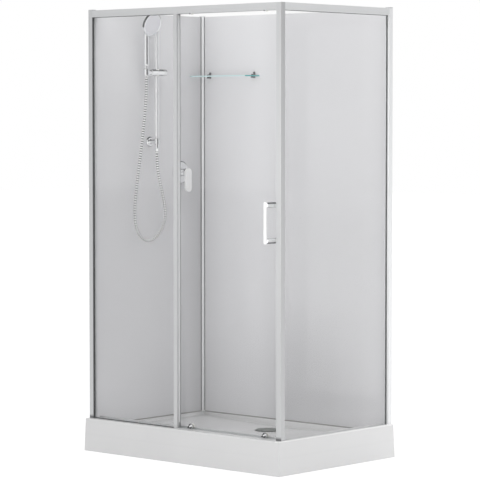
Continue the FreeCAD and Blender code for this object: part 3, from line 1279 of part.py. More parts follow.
# Glass shelf and its holders
def make_shelf():
    x = ("shelf_left_x", "shelf_left_x + shelf_length")
    y = ("shelf_back_y - shelf_depth", "shelf_back_y")
    z = ("shelf_height", "shelf_height + shelf_thickness")
    slab = box("shelf_slab", x, y, z)

    def front_corner(edge):
        upright = abs(edge.BoundBox.ZLength - read("shelf_thickness")) < NEAR
        return upright and edge.CenterOfMass.y < read("shelf_back_y") - read("shelf_depth") / 2

    keep("shelf_glass", rounded("shelf_glass", slab, "shelf_corner", front_corner))
    holders = []
    for count, centre in enumerate((f"{x[0]} + shelf_holder_inset", f"{x[1]} - shelf_holder_inset")):
        block = box(f"shelf_holder_block_{count}",
                    (f"{centre} - shelf_holder_width / 2", f"{centre} + shelf_holder_width / 2"),
                    ("wall_y - shelf_holder_depth", "wall_y"), widened(z, "shelf_holder_jaw"))
        groove = box(f"shelf_holder_groove_{count}",
                     (f"{centre} - shelf_holder_width", f"{centre} + shelf_holder_width"),
                     ("wall_y - shelf_holder_depth - overrun", "shelf_back_y"), z)
        holders.append(cut(f"shelf_holder_{count}", block, groove))
    keep("shelf_holders", group("shelf_holders", holders))


for make in (make_tray, make_waste, make_support, make_frame, make_panes, make_door, make_shower,
             make_hose, make_mixer, make_shelf):
    make()
doc.recompute()

faults = [item.Label for item in doc.Objects if {"Invalid", "Error"} & set(item.State)]
faults += [node for node, piece in pieces.items() if piece.Shape.isNull() or not piece.Shape.isValid()]
if faults:
    raise RuntimeError("failed pieces: " + ", ".join(faults))
os.makedirs("parts", exist_ok=True)
for node, piece in pieces.items():
    piece.Shape.exportStep(f"parts/{node}.step")
print(len(pieces), "nodes written")
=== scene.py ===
"""The looks of the shower cabin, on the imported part's own frame: metres, Z up, front along -Y."""
import json
import math

import bmesh
import bpy
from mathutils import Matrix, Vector


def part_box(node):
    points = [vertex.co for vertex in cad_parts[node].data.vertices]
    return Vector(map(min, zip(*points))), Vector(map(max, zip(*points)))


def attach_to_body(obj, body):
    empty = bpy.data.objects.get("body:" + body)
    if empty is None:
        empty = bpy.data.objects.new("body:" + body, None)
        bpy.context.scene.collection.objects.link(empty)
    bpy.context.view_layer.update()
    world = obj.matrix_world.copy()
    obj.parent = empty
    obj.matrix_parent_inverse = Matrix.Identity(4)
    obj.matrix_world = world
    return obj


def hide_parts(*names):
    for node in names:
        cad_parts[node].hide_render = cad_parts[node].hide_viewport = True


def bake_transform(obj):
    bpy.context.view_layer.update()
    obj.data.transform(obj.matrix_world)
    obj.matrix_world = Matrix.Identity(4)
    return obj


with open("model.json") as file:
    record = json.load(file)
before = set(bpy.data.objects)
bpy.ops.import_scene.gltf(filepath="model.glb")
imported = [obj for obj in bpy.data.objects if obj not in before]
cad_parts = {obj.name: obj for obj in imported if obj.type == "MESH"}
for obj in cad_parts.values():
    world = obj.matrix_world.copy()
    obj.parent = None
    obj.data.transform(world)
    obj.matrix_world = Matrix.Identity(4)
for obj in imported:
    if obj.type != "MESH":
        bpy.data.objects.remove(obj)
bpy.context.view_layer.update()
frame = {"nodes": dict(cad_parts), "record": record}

RECORD = frame["record"]
BODY = {node: body for body, nodes in RECORD["behaviour"]["bodies"].items() for node in nodes}
scene = bpy.context.scene
scene.view_settings.view_transform = "Standard"


# Camera

def make_camera():
    data = bpy.data.cameras.new("camera")
    data.sensor_width = 36
    data.lens = 172.007
    data.clip_end = 100
    camera = bpy.data.objects.new("camera", data)
    camera.location = (7.0400, -7.7525, 1.5314)
    camera.rotation_euler = (math.radians(90 - 2.998), 0, math.radians(42.193))
    scene.collection.objects.link(camera)
    scene.camera = camera


make_camera()


# Nodes

def maths(operation, reflected=False):
    """An operator of Wire, which adds a Math node."""

    def method(wire, value):
        first, second = (value, wire) if reflected else (wire, value)
        return wire.bench.node("ShaderNodeMath", {"operation": operation}, {0: first, 1: second})

    return method


class Wire:
    """A node's output that can be used in sums."""

    __add__ = __radd__ = maths("ADD")
    __sub__ = maths("SUBTRACT")
    __rsub__ = maths("SUBTRACT", reflected=True)
    __mul__ = __rmul__ = maths("MULTIPLY")
    __truediv__ = maths("DIVIDE")
    __rtruediv__ = maths("DIVIDE", reflected=True)
    __pow__ = maths("POWER")
    __rpow__ = maths("POWER", reflected=True)
    __gt__ = maths("GREATER_THAN")
    __lt__ = maths("LESS_THAN")

    def __init__(self, bench, socket):
        self.bench = bench
        self.socket = socket

    def other(self, name):
        return Wire(self.bench, self.socket.node.outputs[name])


class Bench:
    """A node tree and what is wired on it."""

    def __init__(self, tree):
        self.tree = tree
        tree.nodes.clear()

    def node(self, kind, settings=None, sockets=None, output=0):
        made = self.tree.nodes.new(kind)
        for name, value in (settings or {}).items():
            setattr(made, name, value)
        for name, value in (sockets or {}).items():
            if isinstance(value, Wire):
                self.tree.links.new(value.socket, made.inputs[name])
            else:
                made.inputs[name].default_value = value
        return Wire(self, made.outputs[output]) if made.outputs else None

    def mix(self, factor, first, second):
        return self.node("ShaderNodeMix", {"data_type": "RGBA"}, {0: factor, 6: first, 7: second}, 2)

    def band(self, value, low, high, to_low=0.0, to_high=1.0):
        """Runs smoothly from one end to the other as the value goes from low to high."""
        return self.node(
            "ShaderNodeMapRange",
            {"interpolation_type": "SMOOTHSTEP"},
            {"Value": value, "From Min": low, "From Max": high, "To Min": to_low, "To Max": to_high},
        )

    def hill(self, value, low, rise, fall, high):
        """Runs smoothly up from low to rise and down again from fall to high."""
        return self.band(value, low, rise) * self.band(value, high, fall)

    def sight(self):
        """Whether a ray comes from a mirror, and whether it comes from a mirror, glass or the eye."""
        ray = self.node("ShaderNodeLightPath", output="Is Camera Ray")
        mirrored = ray.other("Is Glossy Ray")
        return mirrored, (ray + mirrored + ray.other("Is Transmission Ray")) > 0.5


class Finish(Bench):
    """A material, made from the surface up."""

    def __init__(self, name):
        self.material = bpy.data.materials.new(name)
        self.material.use_nodes = True
        super().__init__(self.material.node_tree)
        self.place = self.node("ShaderNodeTexCoord", output="Object")

    def grain(self, scale, detail, stretch=(1, 1, 1)):
        spot = self.node("ShaderNodeMapping", sockets={"Vector": self.place, "Scale": stretch})
        return self.node("ShaderNodeTexNoise", sockets={"Vector": spot, "Scale": scale, "Detail": detail})

    def along(self, axis):
        return self.node("ShaderNodeSeparateXYZ", sockets={"Vector": self.place}, output=axis)

    def painted(self, name):
        """A value that the mesh carries."""
        return self.node("ShaderNodeAttribute", {"attribute_name": name}, output="Fac")

    def nook(self, reach):
        """How far the surface lies in a corner, by ambient occlusion, for painted shade."""
        return 1.0 - self.node("ShaderNodeAmbientOcclusion", {"samples": 6}, {"Distance": reach}, "AO")

    def bump(self, height, strength, distance):
        sockets = {"Height": height, "Strength": strength, "Distance": distance}
        return self.node("ShaderNodeBump", sockets=sockets)

    def skin(self, colour, rough, relief=None, **more):
        """A surface. Its relief is a height, a strength and a distance."""
        sockets = {"Base Color": colour, "Roughness": rough}
        if relief:
            sockets["Normal"] = self.bump(*relief)
        for name, value in more.items():
            sockets[name.replace("_", " ")] = value
        return self.node("ShaderNodeBsdfPrincipled", sockets=sockets)

    def done(self, shader):
        self.node("ShaderNodeOutputMaterial", sockets={"Surface": shader})
        return self.material

    def coated(self, *looks, **more):
        """The material of one surface."""
        return self.done(self.skin(*looks, **more))


def tone(red, green=None, blue=None):
    """A colour as it is seen on a screen, from 0 to 255, as light."""
    seen = (red, red if green is None else green, red if blue is None else blue)
    light = [value / 255 / 12.92 if value <= 10 else ((value / 255 + 0.055) / 1.055) ** 2.4 for value in seen]
    return (*light, 1.0)


# Where painted shade and painted light come in on the tray, the panels and the posts, in metres from one
# value to the other

BASIN = (0.07, 0.08, 0.128, 0.138)
BASIN_NOOK = 0.09
RIM_TOP = (0.1455, 0.148)
RIM_RIGHT = (0.566, 0.57)
PANEL_CORNER = 0.588 + 0.393
CORNER_NEAR = (0.17, 0.0)
CORNER_WIDE = (0.7, 0.0)
LEFT_WAIST = (0.45, 0.8, 1.5, 1.85)
LEFT_FOOT = (0.5, 0.2)
LEFT_FRONT = (0.2, -0.3)
BACK_PANEL = (0.385, 0.39)
BACK_MIDDLE = (-0.25, -0.02, 0.15, 0.5)
BACK_FOOT = (0.75, 0.35)
BACK_ABOVE_FOOT = (0.3, 0.6)
BACK_NEAR_CORNER = (-0.1, -0.25)
BACK_NEAR_POST = (0.36, 0.5)
POST_FOOT_SHADE = (0.152, 0.17)
POST_FRONT = (-0.361, -0.363)


# Finishes

def tray_acrylic():
    """White acrylic, with painted shade in the corners of the basin and a painted highlight along the right
    rim.
    """
    skin = Finish("tray_acrylic")
    cloud = skin.grain(4, 4)
    peel = skin.grain(600, 2)
    clean = skin.mix(cloud, tone(223, 223, 224), tone(230))
    height = skin.along("Z")
    # Painted shade in the corners of the basin, from ambient occlusion.
    basin_shade = skin.mix(skin.nook(BASIN_NOOK) * skin.hill(height, *BASIN), clean, tone(140))
    # Painted highlight: a bright line along the top of the right rim.
    rim = skin.band(height, *RIM_TOP) * skin.band(skin.along("X"), *RIM_RIGHT)
    colour = skin.mix(rim * 0.85, basin_shade, tone(255))
    return skin.coated(colour, 0.2 + cloud * 0.1, (peel, 0.03, 0.0003), Coat_Weight=0.2)


def wall_sheet():
    """White sheet, with painted shade towards the corner where the two panels meet, and painted shade and
    painted light in broad soft patches.
    """
    skin = Finish("wall_sheet")
    cloud = skin.grain(1.5, 3)
    wave = skin.grain(7, 1)
    clean = skin.mix(cloud, tone(221, 221, 223), tone(227, 227, 229))
    across, depth, height = skin.along("X"), skin.along("Y"), skin.along("Z")
    corner = across - depth + PANEL_CORNER
    near = skin.band(corner, *CORNER_NEAR)
    back = skin.band(depth, *BACK_PANEL)
    left = 1.0 - back
    # Painted shade near the corner and at the middle height of the left panel; painted light low at the front
    # of it.
    left_shade = near * 0.25 + skin.band(corner, *CORNER_WIDE) * 0.1 + skin.hill(height, *LEFT_WAIST) * 0.08
    left_lit = skin.band(height, *LEFT_FOOT) * skin.band(depth, *LEFT_FRONT) * 2
    # Painted shade over the middle of the back panel, more towards its foot; painted light near the corner
    # and near the post.
    middle = skin.hill(across, *BACK_MIDDLE)
    back_shade = near * 0.1 + middle * (skin.band(height, *BACK_FOOT) * 0.2 + 0.12)
    lit_corner = skin.band(across, *BACK_NEAR_CORNER) * skin.band(height, *BACK_ABOVE_FOOT)
    back_lit = lit_corner + skin.band(across, *BACK_NEAR_POST)
    pale = skin.mix((back_lit * back + left_lit * left) * 0.25, clean, tone(245, 245, 247))
    colour = skin.mix(left_shade * left + back_shade * back, pale, tone(150, 150, 153))
    return skin.coated(colour, 0.05 + cloud * 0.05, (wave, 0.02, 0.001))


def profile_silver(lengthwise, name, pale, metal=0.55, shaded_foot=False):
    """Satin aluminium with fine lines along the profile, with painted shade at the foot of a post's front
    face.
    """
    skin = Finish(name)
    lines = skin.grain(1, 3, [1.3 if axis in lengthwise else 900 for axis in "XYZ"])
    cloud = skin.grain(6, 3)
    colour = skin.mix(lines, tone(pale - 16, pale - 15, pale - 14), tone(pale, pale + 1, pale + 2))
    if shaded_foot:
        # Painted shade at the foot of the post's front face.
        foot = skin.band(skin.along("Z"), *POST_FOOT_SHADE, 0.85, 0.0) * skin.band(skin.along("Y"), *POST_FRONT)
        colour = skin.mix(foot, colour, tone(70, 71, 73))
    rough = 0.34 + cloud * 0.1 + lines * 0.06
    return skin.coated(colour, rough, (lines, 0.04, 0.0002), Metallic=metal)


def chrome(name="chrome", pale=250, metal=0.94):
    """Bright plating, with painted dark reflection where the skin's lean says so: most on faces turned up,
    less on faces turned down.
    """
    skin = Finish(name)
    smear = skin.grain(35, 4)
    dust = skin.grain(900, 2)
    lean = skin.painted("lean")
    # Painted dark reflection, set by the lean.
    painted_reflection = skin.band(lean, 0.25, 0.5) * 0.92 + skin.band(lean, -0.5, -0.8) * 0.45
    bright = skin.mix(smear, tone(pale - 8, pale - 7, pale - 6), tone(pale, pale, pale + 1))
    colour = skin.mix(painted_reflection * (0.8 + smear * 0.3), bright, tone(52, 54, 57))
    return skin.coated(colour, 0.05 + smear * 0.06, (dust, 0.02, 0.0001), Metallic=metal)


def hose_metal():
    """Ribbed chrome, with painted highlights on the ribs and painted shade in the grooves."""
    skin = Finish("hose_metal")
    groove = skin.band(skin.painted("groove"), 0.2, 0.5)
    smear = skin.grain(60, 3)
    colour = skin.mix(groove, tone(255), tone(40, 40, 42))
    return skin.coated(colour, 0.16 + smear * 0.1 + groove * 0.2, Metallic=0.25)


def lever_satin():
    skin = Finish("lever_satin")
    cloud = skin.grain(30, 3)
    lines = skin.grain(1, 3, (700, 700, 40))
    colour = skin.mix(cloud, tone(236), tone(243))
    return skin.coated(colour, 0.26 + lines * 0.12, (lines, 0.04, 0.0001), Metallic=0.1)


def clear_glass(name, sheen):
    """A clear pane, with the gloss of its two faces and a faint film of dried drops."""
    skin = Finish(name)
    film = skin.grain(9, 4, (1, 1, 0.35))
    facing = skin.node("ShaderNodeLayerWeight", sockets={"Blend": 0.5}, output="Facing")
    gloss = 0.035 + facing ** 5 * 0.9
    clear = skin.node("ShaderNodeBsdfTransparent", sockets={"Color": (0.99, 0.99, 0.99, 1)})
    glossy = skin.skin(tone(250), 0.02 + film * 0.03, Metallic=1.0)
    share = gloss * sheen + skin.band(film, 0.5, 0.8) * 0.012
    return skin.done(skin.node("ShaderNodeMixShader", sockets={0: share, 1: clear, 2: glossy}))


def glass_edge(name, deep, pale):
    """The ground edge of a pane, where the glass shows its own colour."""
    skin = Finish(name)
    fleck = skin.grain(120, 3)
    colour = skin.mix(fleck, deep, pale)
    return skin.coated(colour, 0.12 + fleck * 0.2, (fleck, 0.05, 0.0002), Coat_Weight=0.5)


def clear_strip():
    skin = Finish("clear_strip")
    lines = skin.grain(1, 3, (800, 800, 20))
    colour = skin.mix(lines, tone(214, 217, 219), tone(232, 234, 235))
    return skin.coated(colour, 0.25 + lines * 0.15, Alpha=0.45 + lines * 0.2)


def plain(
    name, dark, pale, rough, uneven=0.12, clouds=(30, 4), fine=(1200, 2), relief=(0.08, 0.0002), **more
):
    """Plastic, rubber or metal, clouded between two tones, with the fine relief of a mould or a lathe."""
    skin = Finish(name)
    cloud = skin.grain(*clouds)
    lines = skin.grain(*fine)
    colour = skin.mix(cloud, dark, pale)
    return skin.coated(colour, rough + cloud * uneven, (lines, *relief), **more)


def galvanised():
    """Zinc with its flakes."""
    skin = Finish("galvanised")
    flake = skin.node("ShaderNodeTexVoronoi", sockets={"Vector": skin.place, "Scale": 90.0}, output="Color")
    grey = skin.node("ShaderNodeSeparateColor", sockets={"Color": flake})
    stain = skin.grain(14, 4)
    colour = skin.mix(grey * 0.7 + stain * 0.3, tone(150, 154, 158), tone(198, 201, 204))
    return skin.coated(colour, 0.36 + grey * 0.16, (grey, 0.05, 0.0002), Metallic=0.9)


TURNED = {"uneven": 0.15, "clouds": (45, 4), "fine": (700, 2), "relief": (0.05, 0.0001), "Metallic": 1.0}
ACRYLIC = tray_acrylic()
WALL = wall_sheet()
SILVER_UP = profile_silver("Z", "profile_silver_upright", 211)
SILVER_POST = profile_silver("Z", "profile_silver_post", 211, shaded_foot=True)
# SILVER_BACK and SILVER_SIDE are paler, less metallic copies of the aluminium: painted light on the back
# post, the corner angle and the side rail.
SILVER_BACK = profile_silver("Z", "profile_silver_back", 250, 0.2)
SILVER_ALONG = profile_silver("XY", "profile_silver_level", 216)
SILVER_SIDE = profile_silver("XY", "profile_silver_side", 240, 0.35)
CHROME = chrome()
HOSE = hose_metal()
# The handle bar's white, near 255 and not metallic, is painted bright reflection.
HANDLE = plain(
    "handle_bright", tone(252), tone(255), 0.2, 0.1, clouds=(40, 3), fine=(1, 2, (900, 900, 30)),
    relief=(0.02, 0.0001), Coat_Weight=0.3,
)
LEVER = lever_satin()
GLASS = clear_glass("clear_glass", 1.0)
GLASS_EDGE = glass_edge("glass_edge", tone(138, 158, 153), tone(174, 194, 189))
SHELF = clear_glass("shelf_clear_glass", 1.4)
SHELF_EDGE = glass_edge("shelf_front_edge", tone(196, 228, 230), tone(226, 243, 244))
SHELF_END = glass_edge("shelf_end_edge", tone(36, 150, 152), tone(78, 184, 184))
# Darker and paler copies of the chrome: painted dark reflection on the shelf clips, and painted bright
# reflection, less metallic so that they show white, on the handle posts, the riser and the slider.
DARK_CHROME = chrome("shelf_chrome", 132)
PALE_CHROME = chrome("handle_chrome", 253, 0.2)
RAIL_CHROME = chrome("rail_chrome", 254, 0.6)
SLIDER_CHROME = chrome("slider_chrome", 254, 0.35)
SEAL = plain("seal_pale", tone(226, 227, 228), tone(238, 238, 239), 0.4)
SILL = plain("sill_grey", tone(142, 140, 137), tone(158, 156, 152), 0.5)
GASKET = plain(
    "gasket_grey", tone(84, 85, 86), tone(108, 108, 109), 0.5, 0.2, clouds=(25, 4), fine=(1500, 2),
    relief=(0.1, 0.0001),
)
STRIP = clear_strip()
WASTE = plain(
    "waste_grey", tone(84, 90, 87), tone(102, 108, 104), 0.3, 0.15, clouds=(40, 4), fine=(900, 2),
    relief=(0.06, 0.0002),
)
PIPE = plain("pipe_white", tone(226, 226, 224), tone(238, 238, 236), 0.35)
NYLON = plain("nylon", tone(222, 221, 214), tone(236, 235, 230), 0.4)
FACE = plain(
    "face_pale", tone(240, 240, 246), tone(248, 248, 251), 0.28, 0.15, clouds=(60, 3), fine=(1500, 2),
    relief=(0.05, 0.0001),
)
NOZZLE = plain("nozzle_grey", tone(118, 118, 126), tone(136, 136, 144), 0.4)
ZINC = galvanised()
FOOT = plain("foot_black", tone(34, 34, 35), tone(50, 50, 51), 0.5, fine=(600, 2))
STEEL = plain("screw_steel", tone(176, 178, 181), tone(206, 208, 210), 0.22, **TURNED)
BRASS = plain("brass", tone(196, 164, 100), tone(222, 192, 128), 0.25, **TURNED)


# Pieces

WELD = 0.00001
FLAT_ANGLE = math.radians(0.6)
CREASE_ANGLE = math.radians(35)
EASING = {"segments": 2, "profile": 0.6, "affect": "EDGES", "clamp_overlap": True}
ROUNDING_SHARE = 0.49


def at(x, y, z):
    """A place, from millimetres."""
    return Vector((x, y, z)) / 1000


def settled(piece):
    """The piece's mesh as its modifiers leave it. The piece itself goes out of the scene."""
    bpy.context.view_layer.update()
    graph = bpy.context.evaluated_depsgraph_get()
    final = piece.evaluated_get(graph)
    mesh = bpy.data.meshes.new_from_object(final, preserve_all_data_layers=True, depsgraph=graph)
    mesh.name = piece.name
    bpy.data.objects.remove(piece)
    return mesh


def placed(name, data):
    piece = bpy.data.objects.new(name, data)
    scene.collection.objects.link(piece)
    return piece


def shown(name, mesh, sharp=30):
    """The mesh as a piece of the scene, smooth apart from its sharp edges, with its wide faces true."""
    mesh.shade_smooth()
    mesh.set_sharp_from_angle(angle=math.radians(sharp))
    rough = placed(name + "_rough", mesh)
    weighted = rough.modifiers.new("true_faces", "WEIGHTED_NORMAL")
    weighted.keep_sharp = True
    weighted.weight = 100
    return placed(name, settled(rough))


def dress(piece, node):
    """The piece joins the body of the node that it stands for, and the node is hidden."""
    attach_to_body(piece, BODY[node])
    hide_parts(node)
    return piece


def attach(piece, body):
    """A piece that is added to a body."""
    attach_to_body(piece, body)
    return piece


def mesh_of(work, name, *finishes):
    """The worked shape as a mesh with its finishes."""
    mesh = bpy.data.meshes.new(name)
    work.to_mesh(mesh)
    work.free()
    for finish in finishes:
        mesh.materials.append(finish)
    return mesh


def is_crease(line):
    return len(line.link_faces) == 2 and line.calc_face_angle() > CREASE_ANGLE


def eased(node, finish, width, edge=None, across=None, sharp=30):
    """A node's own shape, its sharp edges eased. A pane's faces lie across an axis, the rest is its edge."""
    work = bmesh.new()
    work.from_mesh(frame["nodes"][node].data)
    bmesh.ops.remove_doubles(work, verts=work.verts, dist=WELD)
    bmesh.ops.dissolve_limit(work, angle_limit=FLAT_ANGLE, verts=work.verts, edges=work.edges)
    creases = [line for line in work.edges if is_crease(line)]
    bmesh.ops.bevel(work, geom=creases, offset=width, **EASING)
    mesh = mesh_of(work, node + "_fine", *([finish, edge] if edge else [finish]))
    if "custom_normal" in mesh.attributes:
        mesh.attributes.remove(mesh.attributes["custom_normal"])
    if edge:
        for face in mesh.polygons:
            face.material_index = 0 if abs(face.normal[across]) > 0.9 else 1
    return dress(shown(node + "_fine", mesh, sharp), node)


def rounded(corners, closed, steps=4):
    """A line through corners of (a, b) or (a, b, radius), with the radii put on."""
    line = []
    for count, corner in enumerate(corners):
        here = Vector(corner[:2])
        if len(corner) == 2 or (not closed and count in (0, len(corners) - 1)):
            line.append(here)
            continue
        back = Vector(corners[count - 1][:2]) - here
        ahead = Vector(corners[(count + 1) % len(corners)][:2]) - here
        room = min(back.length, ahead.length) * ROUNDING_SHARE
        reach = min(corner[2] / math.tan(back.angle(ahead) / 2), room)
        start = here + back.normalized() * reach
        end = here + ahead.normalized() * reach
        for step in range(steps + 1):
            share = step / steps
            line.append(start * (1 - share) ** 2 + here * 2 * share * (1 - share) + end * share ** 2)
    return line


def ring_mesh(name, rings, finish, loop=False):
    """A closed skin over rings of points. A ring of one point is a pole."""
    work = bmesh.new()
    made = [[work.verts.new(point) for point in ring] for ring in rings]
    sides = max(len(ring) for ring in made)
    for low, high in zip(made, made[1:] + (made[:1] if loop else [])):
        for step in range(sides):
            after = (step + 1) % sides
            near, far = low[step % len(low)], low[after % len(low)]
            corners = list(dict.fromkeys((near, far, high[after % len(high)], high[step % len(high)])))
            if len(corners) > 2:
                work.faces.new(corners)
    for ring in (made[0], made[-1]):
        if not loop and len(ring) > 2:
            work.faces.new(ring)
    bmesh.ops.recalc_face_normals(work, faces=work.faces)
    return mesh_of(work, name, finish)


def turned(name, finish, centre, way, corners, sides=48, bored=False):
    """A mesh turned about an axis from corners of (radius, height, rounding), in millimetres."""
    turn = Vector((0, 0, 1)).rotation_difference(Vector(way)).to_matrix()
    rings = []
    for radius, height in rounded(corners, bored):
        count = sides if radius > 0.001 else 1
        ring = []
        for step in range(count):
            angle = 2 * math.pi * (step + 0.5) / sides
            ring.append(centre + turn @ at(radius * math.cos(angle), radius * math.sin(angle), height))
        rings.append(ring)
    return ring_mesh(name, rings, finish, bored)


def rod(radius, low, high, low_ease=None, high_ease=None):
    """The corners of a round bar, with its rims eased where that is said."""
    rims = ((radius, low, low_ease), (radius, high, high_ease))
    return [(0, low), *[rim if rim[2] else rim[:2] for rim in rims], (0, high)]


def tube(bore, radius, low, high, ease):
    """The corners of a bored bar, with its outer rims eased."""
    return [(bore, low), (radius, low, ease), (radius, high, ease), (bore, high)]


def block(finish, low, high, ease):
    """A bar between two corners, in millimetres, with eased edges."""
    work = bmesh.new()
    bmesh.ops.create_cube(work, size=1.0)
    for corner in work.verts:
        corner.co = at(*[(a + b) / 2 + share * (b - a) for a, b, share in zip(low, high, corner.co)])
    bmesh.ops.bevel(work, geom=work.edges, offset=ease / 1000, **EASING)
    return mesh_of(work, "bar", finish)


def carved(base, tool, operation):
    """The base mesh joined with a tool mesh, or cut by it."""
    whole = placed(base.name, base)
    other = placed(tool.name, tool)
    step = whole.modifiers.new("carve", "BOOLEAN")
    step.operation = operation
    step.solver = "EXACT"
    step.object = other
    mesh = settled(whole)
    bpy.data.objects.remove(other)
    return mesh


def gathered(name, meshes):
    """Several meshes as one, each with its own finish."""
    finishes = list(dict.fromkeys(mesh.materials[0] for mesh in meshes))
    work = bmesh.new()
    for mesh in meshes:
        before = len(work.faces)
        work.from_mesh(mesh)
        work.faces.ensure_lookup_table()
        for face in work.faces[before:]:
            face.material_index = finishes.index(mesh.materials[0])
    return mesh_of(work, name, *finishes)


class Pattern(Bench):
    """A geometry tree with named sizes, which repeats a shape and has a place and a turn."""

    def __init__(self, name, **sizes):
        super().__init__(bpy.data.node_groups.new(name, "GeometryNodeTree"))
        self.tree.interface.new_socket("Geometry", in_out="OUTPUT", socket_type="NodeSocketGeometry")
        kinds = {int: "NodeSocketInt", float: "NodeSocketFloat", Vector: "NodeSocketVector"}
        self.keys = {}
        for label, kind in dict(sizes, place=Vector, turn=Vector).items():
            socket = self.tree.interface.new_socket(label, in_out="INPUT", socket_type=kinds[kind])
            self.keys[label] = socket.identifier
        self.given = self.node("NodeGroupInput")

    def size(self, label):
        return self.given.other(label)

    def done(self, points, shape, finish):
        """Puts the shape on every point."""
        self.finish = finish
        shapes = self.node("GeometryNodeInstanceOnPoints", sockets={"Points": points, "Instance": shape})
        whole = self.node("GeometryNodeRealizeInstances", sockets={"Geometry": shapes})
        moved = self.node(
            "GeometryNodeTransform",
            sockets={"Geometry": whole, "Translation": self.size("place"), "Rotation": self.size("turn")},
        )
        finished = self.node("GeometryNodeSetMaterial", sockets={"Geometry": moved, "Material": finish})
        self.node("NodeGroupOutput", sockets={"Geometry": finished})
        return self

    def made(self, name, **sizes):
        """A mesh of the pattern with its finish in the first slot, which Set Material leaves empty."""
        piece = placed(name, bpy.data.meshes.new(name))
        step = piece.modifiers.new(name, "NODES")
        step.node_group = self.tree
        for label, value in sizes.items():
            step[self.keys[label]] = value
        mesh = settled(piece)
        mesh.materials.clear()
        mesh.materials.append(self.finish)
        return mesh


def nozzle_rings():
    """Nozzles in rings of six, twelve, eighteen and so on round one in the middle."""
    tree = Pattern("nozzle_rings", count=int, spacing=float, radius=float, height=float)
    points = tree.node("GeometryNodePoints", sockets={"Count": tree.size("count")})
    index = tree.node("GeometryNodeInputIndex")
    ring = tree.node("ShaderNodeMath", {"operation": "CEIL"}, {0: ((index * 12.0 + 9.0) ** 0.5 - 3.0) / 6.0})
    step = index - ring * (ring - 1.0) * 3.0 - 1.0
    angle = step * (math.pi / 3) / ring
    reach = ring * tree.size("spacing")
    cosine = tree.node("ShaderNodeMath", {"operation": "COSINE"}, {0: angle})
    sine = tree.node("ShaderNodeMath", {"operation": "SINE"}, {0: angle})
    spot = tree.node("ShaderNodeCombineXYZ", sockets={"X": reach * cosine, "Y": reach * sine})
    spread = tree.node("GeometryNodeSetPosition", sockets={"Geometry": points, "Position": spot})
    foot, height = tree.size("radius"), tree.size("height")
    nozzle = tree.node(
        "GeometryNodeMeshCone",
        sockets={"Vertices": 10, "Radius Bottom": foot, "Radius Top": foot * 0.62, "Depth": height},
    )
    return tree.done(spread, nozzle, NOZZLE)


def grip_ribs():
    """Round ribs side by side on a drum."""
    tree = Pattern("grip_ribs", count=int, drum=float, radius=float, length=float)
    drum = tree.node(
        "GeometryNodeMeshCircle",
        sockets={"Vertices": tree.size("count"), "Radius": tree.size("drum")},
    )
    rib = tree.node(
        "GeometryNodeMeshCylinder",
        sockets={"Vertices": 8, "Radius": tree.size("radius"), "Depth": tree.size("length")},
    )
    return tree.done(drum, rib, SLIDER_CHROME)


def thread_turns():
    """The turns of a thread along a stud."""
    tree = Pattern("thread_turns", count=int, pitch=float, radius=float, ridge=float)
    offset = tree.node("ShaderNodeCombineXYZ", sockets={"Z": tree.size("pitch")})
    line = tree.node("GeometryNodeMeshLine", sockets={"Count": tree.size("count"), "Offset": offset})
    round_kind = "GeometryNodeCurvePrimitiveCircle"
    circle = tree.node(round_kind, sockets={"Resolution": 20, "Radius": tree.size("radius")})
    ridge = tree.node(round_kind, sockets={"Resolution": 4, "Radius": tree.size("ridge")})
    turn = tree.node("GeometryNodeCurveToMesh", sockets={"Curve": circle, "Profile Curve": ridge})
    return tree.done(line, turn, STEEL)


# Places that several pieces share, in millimetres, and the ways that they face

PANEL_X = -588
PANEL_BACK_X = -593
RISER_X = -540
RISER_Y = 24
OUTLET_Z = 1428
OUTLET_NUT_Z = 1382
BRACKET_Z = 1975
SLIDER_Z = 1753.96
HANDSET_Y = -46
DOOR_FRONT_Y = -340
WHEEL_Y = -329.5
ROLLER_X = {"left": 24, "right": 466}
ROLLER_Z = {"bottom": 162.5, "top": 2009}
RIGHT, LEFT = (1, 0, 0), (-1, 0, 0)
BACK, FRONT = (0, 1, 0), (0, -1, 0)
UP, DOWN = (0, 0, 1), (0, 0, -1)


# Hose

HOSE_X = RISER_X / 1000
HOSE_DIAMETER = 0.014
HOSE_RIB = 0.0009
HOSE_RIBS = 112
HOSE_RIB_FULLNESS = 0.8
HOSE_SIDES = 14
HOSE_CUTS = (1.275, 1.500, 1.695)
HOSE_ROUTE = (
    (0.024, 1.382), (0.024, 1.325), (0.040, 1.252), (0.064, 1.175), (0.084, 1.098),
    (0.072, 1.028), (0.016, 0.97), (-0.052, 0.957), (-0.108, 0.99996), (-0.127, 1.06996),
    (-0.122, 1.15996), (-0.103, 1.27496), (-0.080, 1.39996), (-0.060, 1.52996), (-0.046, 1.63996),
    (-0.046, 1.73296),
)


def hose_line():
    """The points of the hose's middle line, from the water outlet round the loop and up to the handset."""
    curve = bpy.data.curves.new("hose_route", "CURVE")
    curve.dimensions = "3D"
    curve.resolution_u = 80
    spline = curve.splines.new("NURBS")
    spline.points.add(len(HOSE_ROUTE) - 1)
    for point, (across, height) in zip(spline.points, HOSE_ROUTE):
        point.co = (HOSE_X, across, height, 1)
    spline.order_u = 3
    spline.use_endpoint_u = True
    route = placed("hose_route", curve)
    bpy.context.view_layer.update()
    line = bpy.data.meshes.new_from_object(route)
    points = [vertex.co.copy() for vertex in line.vertices]
    bpy.data.objects.remove(route)
    bpy.data.curves.remove(curve)
    bpy.data.meshes.remove(line)
    return points


def line_lengths(points):
    total = [0.0]
    for before, after in zip(points, points[1:]):
        total.append(total[-1] + (after - before).length)
    return total


